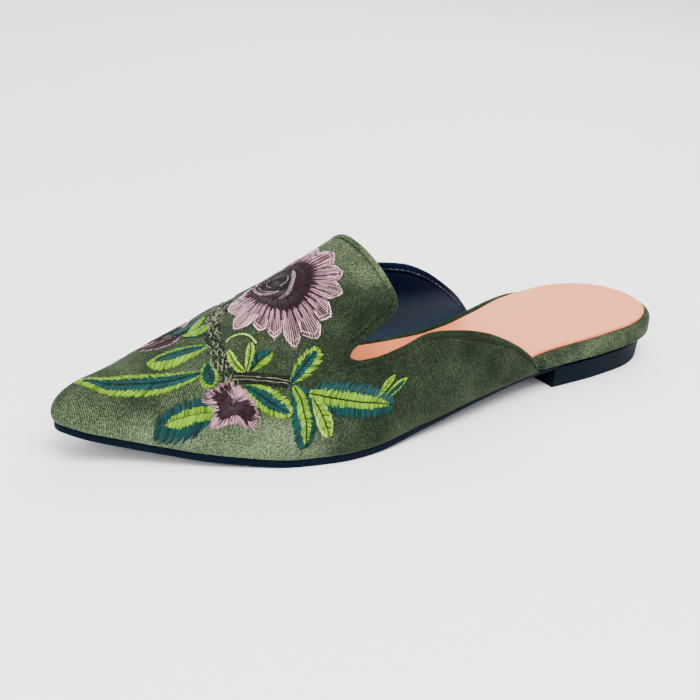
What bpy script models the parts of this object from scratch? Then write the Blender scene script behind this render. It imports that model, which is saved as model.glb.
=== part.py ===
"""A pointed flat mule for the left foot: outsole, low heel, insole board, insole and a hollow upper.

Every piece is worked out from one last. A station is a distance in millimetres from the back of the
heel seat, and the side facing the little toe is lateral. The finished model is in metres, toe along +X,
lateral side along +Y, with its origin on the floor at the middle of its box.
"""
import math

import bmesh
import bpy
import numpy as np

MM = 0.001

# Driving sizes of the last and the pieces on it, in millimetres
LAST_LENGTH = 264.0
WALL = 1.8
GAP = 0.3
HEEL_BACK = 1.2
HEEL_BREAST = 67.0
HEEL_INSET = 3.2
HEEL_TAPER = 0.8
RAND_PROUD = 1.2
RAND_STEP = 2.5
INSOLE_THICK = 1.2
INSOLE_INSET = 2.8
INSOLE_SLACK = 0.8
MIDDLE_X = 133.415
MIDDLE_Y = 0.497

# Rounding of the last's ends: reach along the foot and power of the curve
HEEL_ROUND = (34.0, 2.3)
TOE_ROUND = (10.0, 2.2)
NOSE_ROUND = (13.0, 2.4)
RIDGE_Y = -6.0
BULGE_HEIGHT = 17.0
BULGE_SCALE = 6.75
LIFT_HEIGHT = 6.0

# Throat: the tongue's back edge, its corners and the notches beside it
TONGUE_BACK = 147.0
TONGUE_DIP = 1.5
TONGUE_CORNER = 5.2
LATERAL_NOTCH = (169.4, 41.3)
MEDIAL_NOTCH = (163.0, 32.8)
NOTCH_ROUND = 3.0
LATERAL_WING_END = 79.5
MEDIAL_WING_END = 72.5

# Edges of the flat pieces
SOLE_ROUND = 0.8
RAND_ROUND = 2.0
INSOLE_BLEND = 14.0
FLAT_SPOT = (168.0, 196.0)
TIP_SETBACK = 0.1

# Fineness of the meshes
END_ROWS = 7
WAIST_ROWS = (50.0, 60.0, HEEL_BREAST, 86.0, 93.0)
FRONT_START = 100.0
FRONT_STEP = 8.0
SLOPE_REACH = 0.25
NORMAL_REACH = 0.2
NORMAL_TURN = 0.01
WING_ROWS = 16
WING_COLUMNS = 8
TONGUE_ROWS = 8
TONGUE_COLUMNS = 16
VAMP_ROWS = 24
SHARP_ANGLE = 40.0

# Half widths of the last at its lower edge: station, lateral, medial
OUTLINE = [
    (0, 26.3, -25.0),
    (32, 28.6, -26.0),
    (50, 30.2, -24.4),
    (66, 30.3, -21.6),
    (78, 30.4, -19.4),
    (90, 31.4, -18.5),
    (100, 32.8, -19.0),
    (115, 34.9, -22.0),
    (140, 38.0, -30.2),
    (172, 40.8, -39.2),
    (190, 37.6, -39.8),
    (215, 26.2, -32.6),
    (245, 8.6, -19.0),
    (LAST_LENGTH, 0.5, -11.0),
]

# Top of the instep: station, height above the floor, fullness of the section, bulge over the edge
RIDGE = [
    (60, 96.0, 3.2, 0.2),
    (85, 92.1, 3.0, 0.8),
    (110, 83.2, 2.7, 1.2),
    (130, 73.5, 2.3, 1.5),
    (150, 62.7, 2.02, 1.65),
    (175, 49.0, 2.05, 1.75),
    (200, 39.8, 2.07, 1.8),
    (225, 32.3, 2.1, 1.8),
    (245, 27.6, 2.1, 1.8),
    (LAST_LENGTH, 24.0, 2.1, 1.8),
]

# Side view of the sole: station, underside, thickness
SOLE = [
    (0, 10.0, 2.0),
    (66, 9.5, 2.0),
    (85, 8.8, 1.9),
    (110, 7.2, 2.0),
    (140, 3.6, 2.3),
    (168, 0.0, 3.0),
    (196, 0.0, 3.0),
    (215, 1.4, 3.0),
    (240, 5.3, 2.9),
    (LAST_LENGTH, 11.5, 2.8),
]

# Insole board and insole together: station, thickness
FOOTBED = [
    (0, 8.6),
    (35, 8.6),
    (58, 8.2),
    (70, 7.3),
    (80, 6.3),
    (92, 4.5),
    (108, 3.0),
    (130, 2.7),
    (LAST_LENGTH, 2.7),
]

# Edge of the outsole out from the last: station, offset
SOLE_EDGE = [
    (0, -2.0),
    (60, -2.0),
    (72, 0.0),
    (90, 0.8),
    (125, 1.6),
    (150, 1.8),
    (LAST_LENGTH, 1.8),
]

# Half width of the tongue over the instep: station, lateral, medial
TONGUE = [
    (147, 38.3, 29.6),
    (154, 38.5, 29.8),
    (163, 39.4, 30.4),
    (170, 40.2, 30.8),
]

# Height of the top edge of each wing: station, lateral, medial
WINGS = [
    (72, 10.0, 12.6),
    (75, 10.6, 17.3),
    (79.5, 11.8, 22.6),
    (83, 16.7, 26.3),
    (90, 23.3, 32.2),
    (100, 29.6, 39.2),
    (111, 34.9, 43.7),
    (123, 38.1, 45.1),
    (135, 39.4, 43.6),
    (148, 36.0, 41.2),
    (160, 33.8, 39.4),
    (170, 33.1, 38.6),
]


def smooth(rows, column, x):
    """Read one column of a table at x along a smooth curve that never overshoots its rows."""
    at = np.array([row[0] for row in rows], float)
    value = np.array([row[column] for row in rows], float)
    step = np.diff(at)
    slope = np.diff(value) / step
    tangent = np.zeros_like(value)
    for i in range(1, len(at) - 1):
        if slope[i - 1] * slope[i] > 0:
            before = 2 * step[i] + step[i - 1]
            after = step[i] + 2 * step[i - 1]
            tangent[i] = (before + after) / (before / slope[i - 1] + after / slope[i])
    tangent[0] = slope[0]
    tangent[-1] = slope[-1]
    x = np.clip(np.asarray(x, float), at[0], at[-1])
    i = np.clip(np.searchsorted(at, x, side="right") - 1, 0, len(step) - 1)
    t = (x - at[i]) / step[i]
    rise = t * t * (3 - 2 * t)
    lead = t * (1 - t) ** 2 * step[i] * tangent[i]
    trail = t * t * (t - 1) * step[i] * tangent[i + 1]
    return value[i] * (1 - rise) + value[i + 1] * rise + lead + trail


def end_round(x, start, end, power):
    """1 before start, then down to 0 at end along a rounded curve."""
    t = np.clip((x - start) / (end - start), 0, 1)
    return np.maximum(1 - t ** power, 0) ** (1 / power)


def width_share(x):
    """Share of the table's width that is left near the heel's back and the toe's tip."""
    back, back_power = HEEL_ROUND
    front, front_power = TOE_ROUND
    heel = end_round(-x, -HEEL_BACK - back, -HEEL_BACK, back_power)
    toe = end_round(x, LAST_LENGTH - front, LAST_LENGTH, front_power)
    return heel * toe


def centre_y(x):
    return (smooth(OUTLINE, 1, x) + smooth(OUTLINE, 2, x)) / 2


def outline_y(x, side):
    """Side of the last's lower edge at a station: side is 1 for lateral and -1 for medial."""
    edge = np.where(side > 0, smooth(OUTLINE, 1, x), smooth(OUTLINE, 2, x))
    middle = centre_y(x)
    return middle + (edge - middle) * width_share(x)


def outward(x, side):
    """Level direction out of the last's lower edge."""
    before = np.maximum(x - SLOPE_REACH, HEEL_BACK)
    after = np.minimum(x + SLOPE_REACH, LAST_LENGTH)
    slope = (outline_y(after, side) - outline_y(before, side)) / (after - before)
    size = np.hypot(slope, 1)
    return -slope * side / size, side / size


def sole_bottom(x):
    return smooth(SOLE, 1, x)


def sole_top(x):
    return smooth(SOLE, 1, x) + smooth(SOLE, 2, x)


def feather_z(x):
    """Height of the upper's lower edge, just over the sole."""
    return sole_top(x) + GAP


def footbed_z(x):
    return feather_z(x) + smooth(FOOTBED, 1, x)


def board_top(x):
    return footbed_z(x) - INSOLE_THICK - GAP


def last_height(x):
    reach, power = NOSE_ROUND
    nose = end_round(x, LAST_LENGTH - reach, LAST_LENGTH, power)
    return (smooth(RIDGE, 1, x) - feather_z(x)) * nose


def last_points(x, angle):
    """Points on the last: angle runs from 0 on the ridge to a right angle at the lower edge, lateral +."""
    x, angle = np.broadcast_arrays(np.asarray(x, float), np.asarray(angle, float))
    side = np.where(angle >= 0, 1.0, -1.0)
    turn = np.abs(angle)
    edge_y = outline_y(x, side)
    edge_z = feather_z(x)
    middle = centre_y(x)
    ridge_y = middle + (RIDGE_Y - middle) * width_share(x)
    power = 2 / smooth(RIDGE, 2, x)
    y = ridge_y + (edge_y - ridge_y) * np.sin(turn) ** power
    z = edge_z + last_height(x) * np.maximum(np.cos(turn), 0) ** power
    rise = np.clip((z - edge_z) / BULGE_HEIGHT, 0, 1)
    bulge = smooth(RIDGE, 3, x) * BULGE_SCALE * rise * (1 - rise) ** 2
    out_x, out_y = outward(x, side)
    return np.stack([x + bulge * out_x, y + bulge * out_y * np.sin(turn), z], -1)


def last_normals(x, angle):
    """Directions out of the last, turned level beside its lower edge."""
    x, angle = np.broadcast_arrays(np.asarray(x, float), np.asarray(angle, float))
    right = math.pi / 2
    ahead = last_points(np.minimum(x + NORMAL_REACH, LAST_LENGTH), angle)
    along = ahead - last_points(x - NORMAL_REACH, angle)
    inside = np.clip(angle, NORMAL_TURN - right, right - NORMAL_TURN)
    across = last_points(x, inside + NORMAL_TURN) - last_points(x, inside - NORMAL_TURN)
    normal = np.cross(along, across)
    rise = (last_points(x, angle)[..., 2] - feather_z(x)) / LIFT_HEIGHT
    normal[..., 2] *= np.clip(rise, 0, 1)
    normal /= np.maximum(np.linalg.norm(normal, axis=-1, keepdims=True), 1e-12)
    normal[x >= LAST_LENGTH] = (1, 0, 0)
    return normal


SAMPLES = np.linspace(0, math.pi / 2, 61)
girths = {}


def girth(x, side):
    """Lengths over the last from the ridge down to each sample angle."""
    key = (round(float(x), 6), side)
    if key not in girths:
        points = last_points(np.full(len(SAMPLES), float(x)), side * np.maximum(SAMPLES, 1e-6))
        steps = np.linalg.norm(np.diff(points, axis=0), axis=1)
        girths[key] = np.concatenate([[0], np.cumsum(steps)])
    return girths[key]


def angle_at(x, share):
    """Angle of a share of the girth: 1 at the lateral edge, 0 on the ridge and -1 at the medial edge."""
    side = 1 if share >= 0 else -1
    length = girth(x, side)
    return side * float(np.interp(abs(share) * length[-1], length, SAMPLES))


def share_of_height(x, z, side):
    """Share of the girth where the last reaches a height."""
    power = smooth(RIDGE, 2, x) / 2
    level = np.clip((z - feather_z(x)) / last_height(x), 0, 1)
    length = girth(x, side)
    return side * float(np.interp(math.acos(float(level) ** power), SAMPLES, length) / length[-1])


def round_in(t):
    """Quarter round from 0 at t = 0 to 1 at t = 1 and beyond."""
    t = min(max(t, 0.0), 1.0)
    return math.sqrt(1 - (1 - t) ** 2)


def notch(side):
    """Station of a notch's bottom and its share of the girth."""
    station, reach = LATERAL_NOTCH if side > 0 else MEDIAL_NOTCH
    return station, side * reach / girth(station, side)[-1]


def tongue_side(x, side):
    """Share of the girth at the tongue's side edge."""
    station, share = notch(side)
    wide = side * float(smooth(TONGUE, 1 if side > 0 else 2, x)) / girth(x, side)[-1]
    level = share * girth(station, side)[-1] / girth(x, side)[-1]
    return level + (wide - level) * round_in((station - x) / NOTCH_ROUND)


def wing_top(x, side):
    """Share of the girth at the top edge of a wing."""
    station, share = notch(side)
    column = 1 if side > 0 else 2
    top = share_of_height(x, float(smooth(WINGS, column, x)), side)
    level = share * girth(station, side)[-1] / girth(x, side)[-1]
    return level + (top - level) * round_in((station - x) / NOTCH_ROUND)


def eased(start, end, count):
    """Stations from start to end, closer together at both ends."""
    return [start + (end - start) * (1 - math.cos(math.pi * i / count)) / 2 for i in range(count + 1)]


def wing_grid(side, rows, columns):
    """Chart points of a wing, from its rear point to the notch."""
    station, share = notch(side)
    end = LATERAL_WING_END if side > 0 else MEDIAL_WING_END
    grid = []
    for x in eased(end, station, rows):
        top = side if x == end else wing_top(x, side)
        row = [(x, side + (top - side) * j / columns) for j in range(columns + 1)]
        grid.append(row if side > 0 else row[::-1])
    return grid


def tongue_point(way, across):
    """Chart point of the tongue: way runs from 0 at its back edge to 1 at the notches."""
    side = 1 if across >= 0 else -1
    lateral_end = LATERAL_NOTCH[0]
    medial_end = MEDIAL_NOTCH[0]
    front_edge = lateral_end if side > 0 else medial_end
    back_edge = TONGUE_BACK - TONGUE_DIP
    edge_x = back_edge + (front_edge - back_edge) * way
    reach = abs(tongue_side(edge_x, side)) * girth(edge_x, side)[-1]
    length = abs(across) * reach
    front = medial_end + (lateral_end - medial_end) * (across + 1) / 2
    back = TONGUE_BACK - TONGUE_DIP * across ** 2
    x = back + (front - back) * way
    to_back = TONGUE_CORNER - (x - back)
    to_side = TONGUE_CORNER - (reach - length)
    if to_back > 0 and to_side > 0:
        shrink = max(to_back, to_side) / math.hypot(to_back, to_side)
        x = back + TONGUE_CORNER - to_back * shrink
        length = reach - TONGUE_CORNER + to_side * shrink
    return x, side * length / girth(x, side)[-1]


def tongue_grid(rows, columns):
    """Chart points of the tongue, from its back edge to the line between the notches."""
    ways = eased(0, 1, rows)
    return [[tongue_point(way, 1 - 2 * j / columns) for j in range(columns + 1)] for way in ways]


def vamp_grid(rows, wing_columns, tongue_columns):
    """Chart points of the front of the upper, from the line between the notches to the toe."""
    first = wing_grid(1, 1, wing_columns)[-1][:-1]
    first += tongue_grid(1, tongue_columns)[-1]
    first += wing_grid(-1, 1, wing_columns)[-1][1:]
    grid = []
    for i in range(rows + 1):
        way = math.sin(math.pi / 2 * i / rows)
        grid.append([(x + (LAST_LENGTH - x) * way, share) for x, share in first])
    return grid


def join_grids(grids):
    """Weld grids of chart points into one list of points and faces."""
    index = {}
    faces = []

    def number(point):
        x, share = point
        key = (LAST_LENGTH, 0.0) if x >= LAST_LENGTH else (round(x, 4), round(share, 5))
        return index.setdefault(key, len(index))

    for grid in grids:
        rows = [[number(point) for point in row] for row in grid]
        for near, far in zip(rows, rows[1:]):
            for j in range(len(near) - 1):
                corners = [near[j], near[j + 1], far[j + 1], far[j]]
                face = [corner for k, corner in enumerate(corners) if corner != corners[k - 1]]
                if len(face) > 2:
                    faces.append(face)
    return list(index), faces


def add_mesh(name, points, faces, material, parent):
    """Make one closed body from points in millimetres."""
    mesh = bpy.data.meshes.new(name)
    shift = np.array([MIDDLE_X, MIDDLE_Y, 0])
    mesh.from_pydata(((np.array(points) - shift) * MM).tolist(), [], faces)
    body = bmesh.new()
    body.from_mesh(mesh)
    bmesh.ops.triangulate(body, faces=body.faces)
    body.to_mesh(mesh)
    body.free()
    mesh.shade_smooth()
    mesh.set_sharp_from_angle(angle=math.radians(SHARP_ANGLE))
    mesh.materials.append(material)
    piece = bpy.data.objects.new(name, mesh)
    piece.parent = parent
    bpy.context.scene.collection.objects.link(piece)
    return piece


def add_upper(material, parent):
    """The hollow upper: a wall over the last, open at the throat, the heel and underneath."""
    grids = [
        wing_grid(1, WING_ROWS, WING_COLUMNS),
        wing_grid(-1, WING_ROWS, WING_COLUMNS),
        tongue_grid(TONGUE_ROWS, TONGUE_COLUMNS),
        vamp_grid(VAMP_ROWS, WING_COLUMNS, TONGUE_COLUMNS),
    ]
    chart, faces = join_grids(grids)
    x = np.array([point[0] for point in chart])
    angle = np.array([angle_at(*point) for point in chart])
    inner = last_points(x, angle)
    outer = inner + WALL * last_normals(x, angle)
    low = 1 - np.clip((inner[:, 2] - feather_z(x)) / LIFT_HEIGHT, 0, 1)
    outer[:, 2] += low * (feather_z(outer[:, 0]) - feather_z(x))
    count = len(chart)
    shell = list(faces)
    shell += [[corner + count for corner in face[::-1]] for face in faces]
    edges = {(face[k - 1], face[k]) for face in faces for k in range(len(face))}
    shell += [[b, a, a + count, b + count] for a, b in edges if (b, a) not in edges]
    return add_mesh("upper", np.concatenate([outer, inner]), shell, material, parent)


def plan_loop(stations, side):
    """Points of the last's lower edge in plan, each with its outward direction."""
    x = np.array(stations, float)
    out_x, out_y = outward(x, side)
    return np.stack([x, outline_y(x, side), out_x, out_y], -1)


def add_slab(name, stations, levels, material, parent, pointed=True):
    """Stack outlines of the last: each level has an offset at a station and side, and a height."""
    loop = [[HEEL_BACK, float(centre_y(HEEL_BACK)), -1, 0]]
    loop += plan_loop(stations, 1).tolist()
    if pointed:
        loop.append([LAST_LENGTH, float(centre_y(LAST_LENGTH)), 1, 0])
    loop += plan_loop(stations, -1)[::-1].tolist()
    loop = np.array(loop)
    count = len(loop)
    side = np.where(np.arange(count) <= len(stations), 1, -1)
    points = []
    for offset, height in levels:
        grow = offset(loop[:, 0], side)
        x = loop[:, 0] + grow * loop[:, 2]
        y = loop[:, 1] + grow * loop[:, 3]
        points.append(np.stack([x, y, height(x)], -1))
    faces = []
    for low in range(0, (len(levels) - 1) * count, count):
        for k in range(count):
            after = (k + 1) % count
            faces.append([low + after, low + k, low + count + k, low + count + after])
    lid = [[k, k + 1, count - 1 - k, (count - k) % count] for k in range((count - 1) // 2)]
    if pointed:
        tip = count // 2
        lid.append([tip - 1, tip, tip + 1])
    top = (len(levels) - 1) * count
    for corners in lid:
        face = [corner for k, corner in enumerate(corners) if corner != corners[k - 1]]
        faces.append(face)
        faces.append([corner + top for corner in face[::-1]])
    return add_mesh(name, np.concatenate(points), faces, material, parent)


def plan_stations(front):
    """Stations of a flat piece: close together at both round ends and where the wings start."""
    back = HEEL_ROUND[0]
    toe_reach = 2 * TOE_ROUND[0]
    turns = [math.pi / 2 * i / END_ROWS for i in range(1, END_ROWS + 1)]
    stations = [HEEL_BACK + back * (1 - math.cos(turn)) for turn in turns]
    stations += list(WAIST_ROWS) + list(FLAT_SPOT)
    for end in (LATERAL_WING_END, MEDIAL_WING_END):
        stations += [end - RAND_STEP - GAP, end - GAP]
    stations += np.arange(FRONT_START, LAST_LENGTH - toe_reach, FRONT_STEP).tolist()
    stations += [LAST_LENGTH - toe_reach * (1 - math.cos(turn)) for turn in turns]
    return sorted(x for x in set(stations) if x <= front)


def rand_edge(x, side):
    """Edge of the insole board: proud of the last at the bare heel seat, just inside the upper's wings."""
    end = np.where(side > 0, LATERAL_WING_END, MEDIAL_WING_END)
    covered = np.clip((x - (end - RAND_STEP - GAP)) / RAND_STEP, 0, 1)
    return RAND_PROUD - (RAND_PROUD + GAP) * covered


def insole_edge(x, side):
    """Edge of the insole: a narrow border inside the rand, and close to the wall under the upper."""
    end = np.where(side > 0, LATERAL_WING_END, MEDIAL_WING_END)
    covered = np.clip((x - (end - INSOLE_BLEND)) / INSOLE_BLEND, 0, 1)
    bare = RAND_PROUD - INSOLE_INSET
    return bare - (bare + INSOLE_SLACK) * covered


def sole_edge(x, side):
    return smooth(SOLE_EDGE, 1, x)


def add_outsole(material, parent):
    """The outsole: flat under the ball, sprung at the toe, raised at the waist and on the heel."""
    levels = [
        (lambda x, side: sole_edge(x, side) - SOLE_ROUND, lambda x: sole_bottom(x)),
        (lambda x, side: sole_edge(x, side) - SOLE_ROUND / 4, lambda x: sole_bottom(x) + SOLE_ROUND / 2),
        (sole_edge, lambda x: sole_top(x) - SOLE_ROUND / 2),
        (lambda x, side: sole_edge(x, side) - SOLE_ROUND / 4, sole_top),
    ]
    return add_slab("outsole", plan_stations(LAST_LENGTH - TIP_SETBACK), levels, material, parent)


def add_heel(material, parent):
    """The low heel block: a D in plan with a straight breast, a little smaller at the floor."""
    top = RAND_PROUD - HEEL_INSET
    levels = [
        (lambda x, side: 0 * x + top - HEEL_TAPER, lambda x: 0 * x),
        (lambda x, side: 0 * x + top, lambda x: sole_bottom(x) - GAP),
    ]
    return add_slab("heel", plan_stations(HEEL_BREAST), levels, material, parent, pointed=False)


def add_board(material, parent):
    """The covered insole board: thick and bare at the heel seat, thin inside the upper."""
    def thick(x):
        return board_top(x) - feather_z(x)

    levels = [
        (lambda x, side: rand_edge(x, side) - RAND_ROUND / 3, feather_z),
        (rand_edge, lambda x: feather_z(x) + thick(x) / 4),
        (rand_edge, lambda x: feather_z(x) + thick(x) * 2 / 3),
        (lambda x, side: rand_edge(x, side) - RAND_ROUND, board_top),
    ]
    return add_slab("insole_board", plan_stations(LAST_LENGTH - TIP_SETBACK), levels, material, parent)


def add_insole(material, parent):
    """The insole: a thin soft sheet with a rounded top edge."""
    levels = [
        (insole_edge, lambda x: board_top(x) + GAP),
        (insole_edge, lambda x: footbed_z(x) - INSOLE_THICK / 2),
        (lambda x, side: insole_edge(x, side) - INSOLE_THICK / 2, footbed_z),
    ]
    return add_slab("insole", plan_stations(LAST_LENGTH - TIP_SETBACK), levels, material, parent)


def add_material(name, colour, roughness, metallic=0.0):
    material = bpy.data.materials.new(name)
    material.use_nodes = True
    shader = material.node_tree.nodes["Principled BSDF"]
    shader.inputs["Base Color"].default_value = (*colour, 1)
    shader.inputs["Roughness"].default_value = roughness
    shader.inputs["Metallic"].default_value = metallic
    return material


def build_mule():
    for item in list(bpy.data.objects):
        bpy.data.objects.remove(item, do_unlink=True)
    mule = bpy.data.objects.new("mule", None)
    bpy.context.scene.collection.objects.link(mule)
    rubber = add_material("navy_rubber", (0.011, 0.018, 0.040), 0.55)
    velvet = add_material("olive_velvet", (0.076, 0.107, 0.048), 0.9)
    leather = add_material("blush_leather", (0.812, 0.491, 0.402), 0.6)
    add_outsole(rubber, mule)
    add_heel(rubber, mule)
    add_board(velvet, mule)
    add_insole(leather, mule)
    add_upper(velvet, mule)


build_mule()
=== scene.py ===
import math

import bpy
import numpy as np
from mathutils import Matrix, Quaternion, Vector


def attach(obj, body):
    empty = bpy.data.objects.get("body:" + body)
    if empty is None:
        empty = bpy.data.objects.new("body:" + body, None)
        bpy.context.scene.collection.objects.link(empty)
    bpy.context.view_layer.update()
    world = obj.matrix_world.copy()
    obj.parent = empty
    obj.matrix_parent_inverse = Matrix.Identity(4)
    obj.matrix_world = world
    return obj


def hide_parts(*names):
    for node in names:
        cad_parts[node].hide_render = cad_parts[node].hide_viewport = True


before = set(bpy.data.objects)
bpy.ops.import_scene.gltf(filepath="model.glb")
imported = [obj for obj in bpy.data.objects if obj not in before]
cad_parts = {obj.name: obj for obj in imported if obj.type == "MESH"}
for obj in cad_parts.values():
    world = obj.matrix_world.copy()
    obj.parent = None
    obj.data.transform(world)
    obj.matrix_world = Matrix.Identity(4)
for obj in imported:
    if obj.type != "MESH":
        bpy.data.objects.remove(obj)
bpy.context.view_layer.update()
print("frame loaded:", len(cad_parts), "solids")

mm = 0.001
rightAngle = math.pi / 2

# The last under the whole shoe, in millimetres from the back of the heel seat
last = {
    "length": 264.0, "wall": 1.8, "gap": 0.3, "heelBack": 1.2, "middle": (133.415, 0.497, 0.0),
    "heelRound": (34.0, 2.3), "toeRound": (10.0, 2.2), "noseRound": (13.0, 2.4),
    "ridgeY": -6.0, "bulgeHeight": 17.0, "bulgeScale": 6.75, "liftHeight": 6.0,
    # half widths of the lower edge: station, lateral, medial
    "outline": [
        (0, 26.3, -25.0), (32, 28.6, -26.0), (50, 30.2, -24.4), (66, 30.3, -21.6), (78, 30.4, -19.4),
        (90, 31.4, -18.5), (100, 32.8, -19.0), (115, 34.9, -22.0), (140, 38.0, -30.2),
        (172, 40.8, -39.2), (190, 37.6, -39.8), (215, 26.2, -32.6), (245, 8.6, -19.0), (264, 0.5, -11.0),
    ],
    # top of the instep: station, height, fullness of the section, bulge over the edge
    "ridge": [
        (60, 96.0, 3.2, 0.2), (85, 92.1, 3.0, 0.8), (110, 83.2, 2.7, 1.2), (130, 73.5, 2.3, 1.5),
        (150, 62.7, 2.02, 1.65), (175, 49.0, 2.05, 1.75), (200, 39.8, 2.07, 1.8),
        (225, 32.3, 2.1, 1.8), (245, 27.6, 2.1, 1.8), (264, 24.0, 2.1, 1.8),
    ],
    # side view of the sole: station, underside, thickness
    "sole": [
        (0, 10.0, 2.0), (66, 9.5, 2.0), (85, 8.8, 1.9), (110, 7.2, 2.0), (140, 3.6, 2.3),
        (168, 0.0, 3.0), (196, 0.0, 3.0), (215, 1.4, 3.0), (240, 5.3, 2.9), (264, 11.5, 2.8),
    ],
    # insole board and insole together: station, thickness
    "footbed": [
        (0, 8.6), (35, 8.6), (58, 8.2), (70, 7.3), (80, 6.3), (92, 4.5), (108, 3.0), (130, 2.7), (264, 2.7),
    ],
    # edge of the outsole out from the last: station, offset
    "soleEdge": [(0, -2.0), (60, -2.0), (72, 0.0), (90, 0.8), (125, 1.6), (150, 1.8), (264, 1.8)],
}

# The throat: what a pattern cutter would draw on the last
throat = {
    "tongueBack": 147.0, "tongueDip": 1.5, "cornerRadius": 5.2, "notchRadius": 3.0,
    "lateralNotch": (169.4, 41.3), "medialNotch": (163.0, 32.8), "wingEnds": (79.5, 72.5), "endLean": 0.09,
    # rows and columns of points on each wing and on the tongue, and rows on the forepart
    "wingMesh": (60, 24), "tongueMesh": (26, 56), "vampRows": 84,
    # half width of the tongue over the instep: station, lateral, medial
    "tongue": [(147, 38.3, 29.6), (154, 38.5, 29.8), (163, 39.4, 30.4), (170, 40.2, 30.8)],
    # height of each wing's top edge: station, lateral, medial
    "wings": [
        (72, 10.0, 12.6), (75, 10.6, 17.3), (79.5, 11.8, 22.6), (83, 16.7, 26.3), (90, 23.3, 32.2),
        (100, 29.6, 39.2), (111, 34.9, 43.7), (123, 38.1, 45.1), (135, 39.4, 43.6),
        (148, 36.0, 41.2), (160, 33.8, 39.4), (170, 33.1, 38.6),
    ],
}


def tableAt(rows, column, x):
    # smooth curve through one column of a table, never past its rows
    at = np.array([row[0] for row in rows], float)
    value = np.array([row[column] for row in rows], float)
    step = np.diff(at)
    slope = np.diff(value) / step
    tangent = np.zeros_like(value)
    for i in range(1, len(at) - 1):
        if slope[i - 1] * slope[i] > 0:
            before, after = 2 * step[i] + step[i - 1], step[i] + 2 * step[i - 1]
            tangent[i] = (before + after) / (before / slope[i - 1] + after / slope[i])
    tangent[0], tangent[-1] = slope[0], slope[-1]
    x = np.clip(np.asarray(x, float), at[0], at[-1])
    i = np.clip(np.searchsorted(at, x, side="right") - 1, 0, len(step) - 1)
    t = (x - at[i]) / step[i]
    rise = t * t * (3 - 2 * t)
    lead = t * (1 - t) ** 2 * step[i] * tangent[i]
    trail = t * t * (t - 1) * step[i] * tangent[i + 1]
    return value[i] * (1 - rise) + value[i + 1] * rise + lead + trail


def arrays(*values):
    return np.broadcast_arrays(*(np.asarray(value, float) for value in values))


def unit(vectors):
    return vectors / np.maximum(np.linalg.norm(vectors, axis=-1, keepdims=True), 1e-12)


def runAlong(points):
    # distance covered at each point of a line, or of each line of a stack
    steps = np.linalg.norm(np.diff(points, axis=-2), axis=-1)
    return np.concatenate([np.zeros((*steps.shape[:-1], 1)), np.cumsum(steps, axis=-1)], axis=-1)


def endRound(x, start, end, power):
    t = np.clip((x - start) / (end - start), 0, 1)
    return np.maximum(1 - t ** power, 0) ** (1 / power)


def widthShare(x):
    back, backPower = last["heelRound"]
    front, frontPower = last["toeRound"]
    heel = endRound(-x, -last["heelBack"] - back, -last["heelBack"], backPower)
    return heel * endRound(x, last["length"] - front, last["length"], frontPower)


def centreY(x):
    return (tableAt(last["outline"], 1, x) + tableAt(last["outline"], 2, x)) / 2


def outlineY(x, side):
    # side is 1 for lateral and -1 for medial, here and below
    edge = np.where(side > 0, tableAt(last["outline"], 1, x), tableAt(last["outline"], 2, x))
    return centreY(x) + (edge - centreY(x)) * widthShare(x)


def outward(x, side):
    reach = 0.25
    before, after = np.maximum(x - reach, last["heelBack"]), np.minimum(x + reach, last["length"])
    slope = (outlineY(after, side) - outlineY(before, side)) / (after - before)
    size = np.hypot(slope, 1)
    return -slope * side / size, side / size


def soleUnder(x):
    return tableAt(last["sole"], 1, x)


def soleTop(x):
    return soleUnder(x) + tableAt(last["sole"], 2, x)


def featherZ(x):
    # lower edge of the upper
    return soleTop(x) + last["gap"]


def footbedZ(x):
    return featherZ(x) + tableAt(last["footbed"], 1, x)


def lastHeight(x):
    reach, power = last["noseRound"]
    return (tableAt(last["ridge"], 1, x) - featherZ(x)) * endRound(x, last["length"] - reach, last["length"], power)


def lastPoints(x, turn):
    # turn runs from 0 on the ridge to a right angle at the lower edge, lateral +
    x, turn = arrays(x, turn)
    side = np.where(turn >= 0, 1.0, -1.0)
    turn = np.abs(turn)
    edgeY, edgeZ, middle = outlineY(x, side), featherZ(x), centreY(x)
    ridgeY = middle + (last["ridgeY"] - middle) * widthShare(x)
    power = 2 / tableAt(last["ridge"], 2, x)
    y = ridgeY + (edgeY - ridgeY) * np.sin(turn) ** power
    z = edgeZ + lastHeight(x) * np.maximum(np.cos(turn), 0) ** power
    rise = np.clip((z - edgeZ) / last["bulgeHeight"], 0, 1)
    bulge = tableAt(last["ridge"], 3, x) * last["bulgeScale"] * rise * (1 - rise) ** 2
    outX, outY = outward(x, side)
    return np.stack([x + bulge * outX, y + bulge * outY * np.sin(turn), z], -1)


def lastNormals(x, turn):
    x, turn = arrays(x, turn)
    reach, swing = 0.2, 0.01
    along = lastPoints(np.minimum(x + reach, last["length"]), turn) - lastPoints(x - reach, turn)
    inside = np.clip(turn, swing - rightAngle, rightAngle - swing)
    across = lastPoints(x, inside + swing) - lastPoints(x, inside - swing)
    normal = np.cross(along, across)
    rise = (lastPoints(x, turn)[..., 2] - featherZ(x)) / last["liftHeight"]
    normal[..., 2] *= np.clip(rise, 0, 1)
    normal = unit(normal)
    normal[x >= last["length"] - 1e-3] = (1, 0, 0)
    return normal


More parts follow.
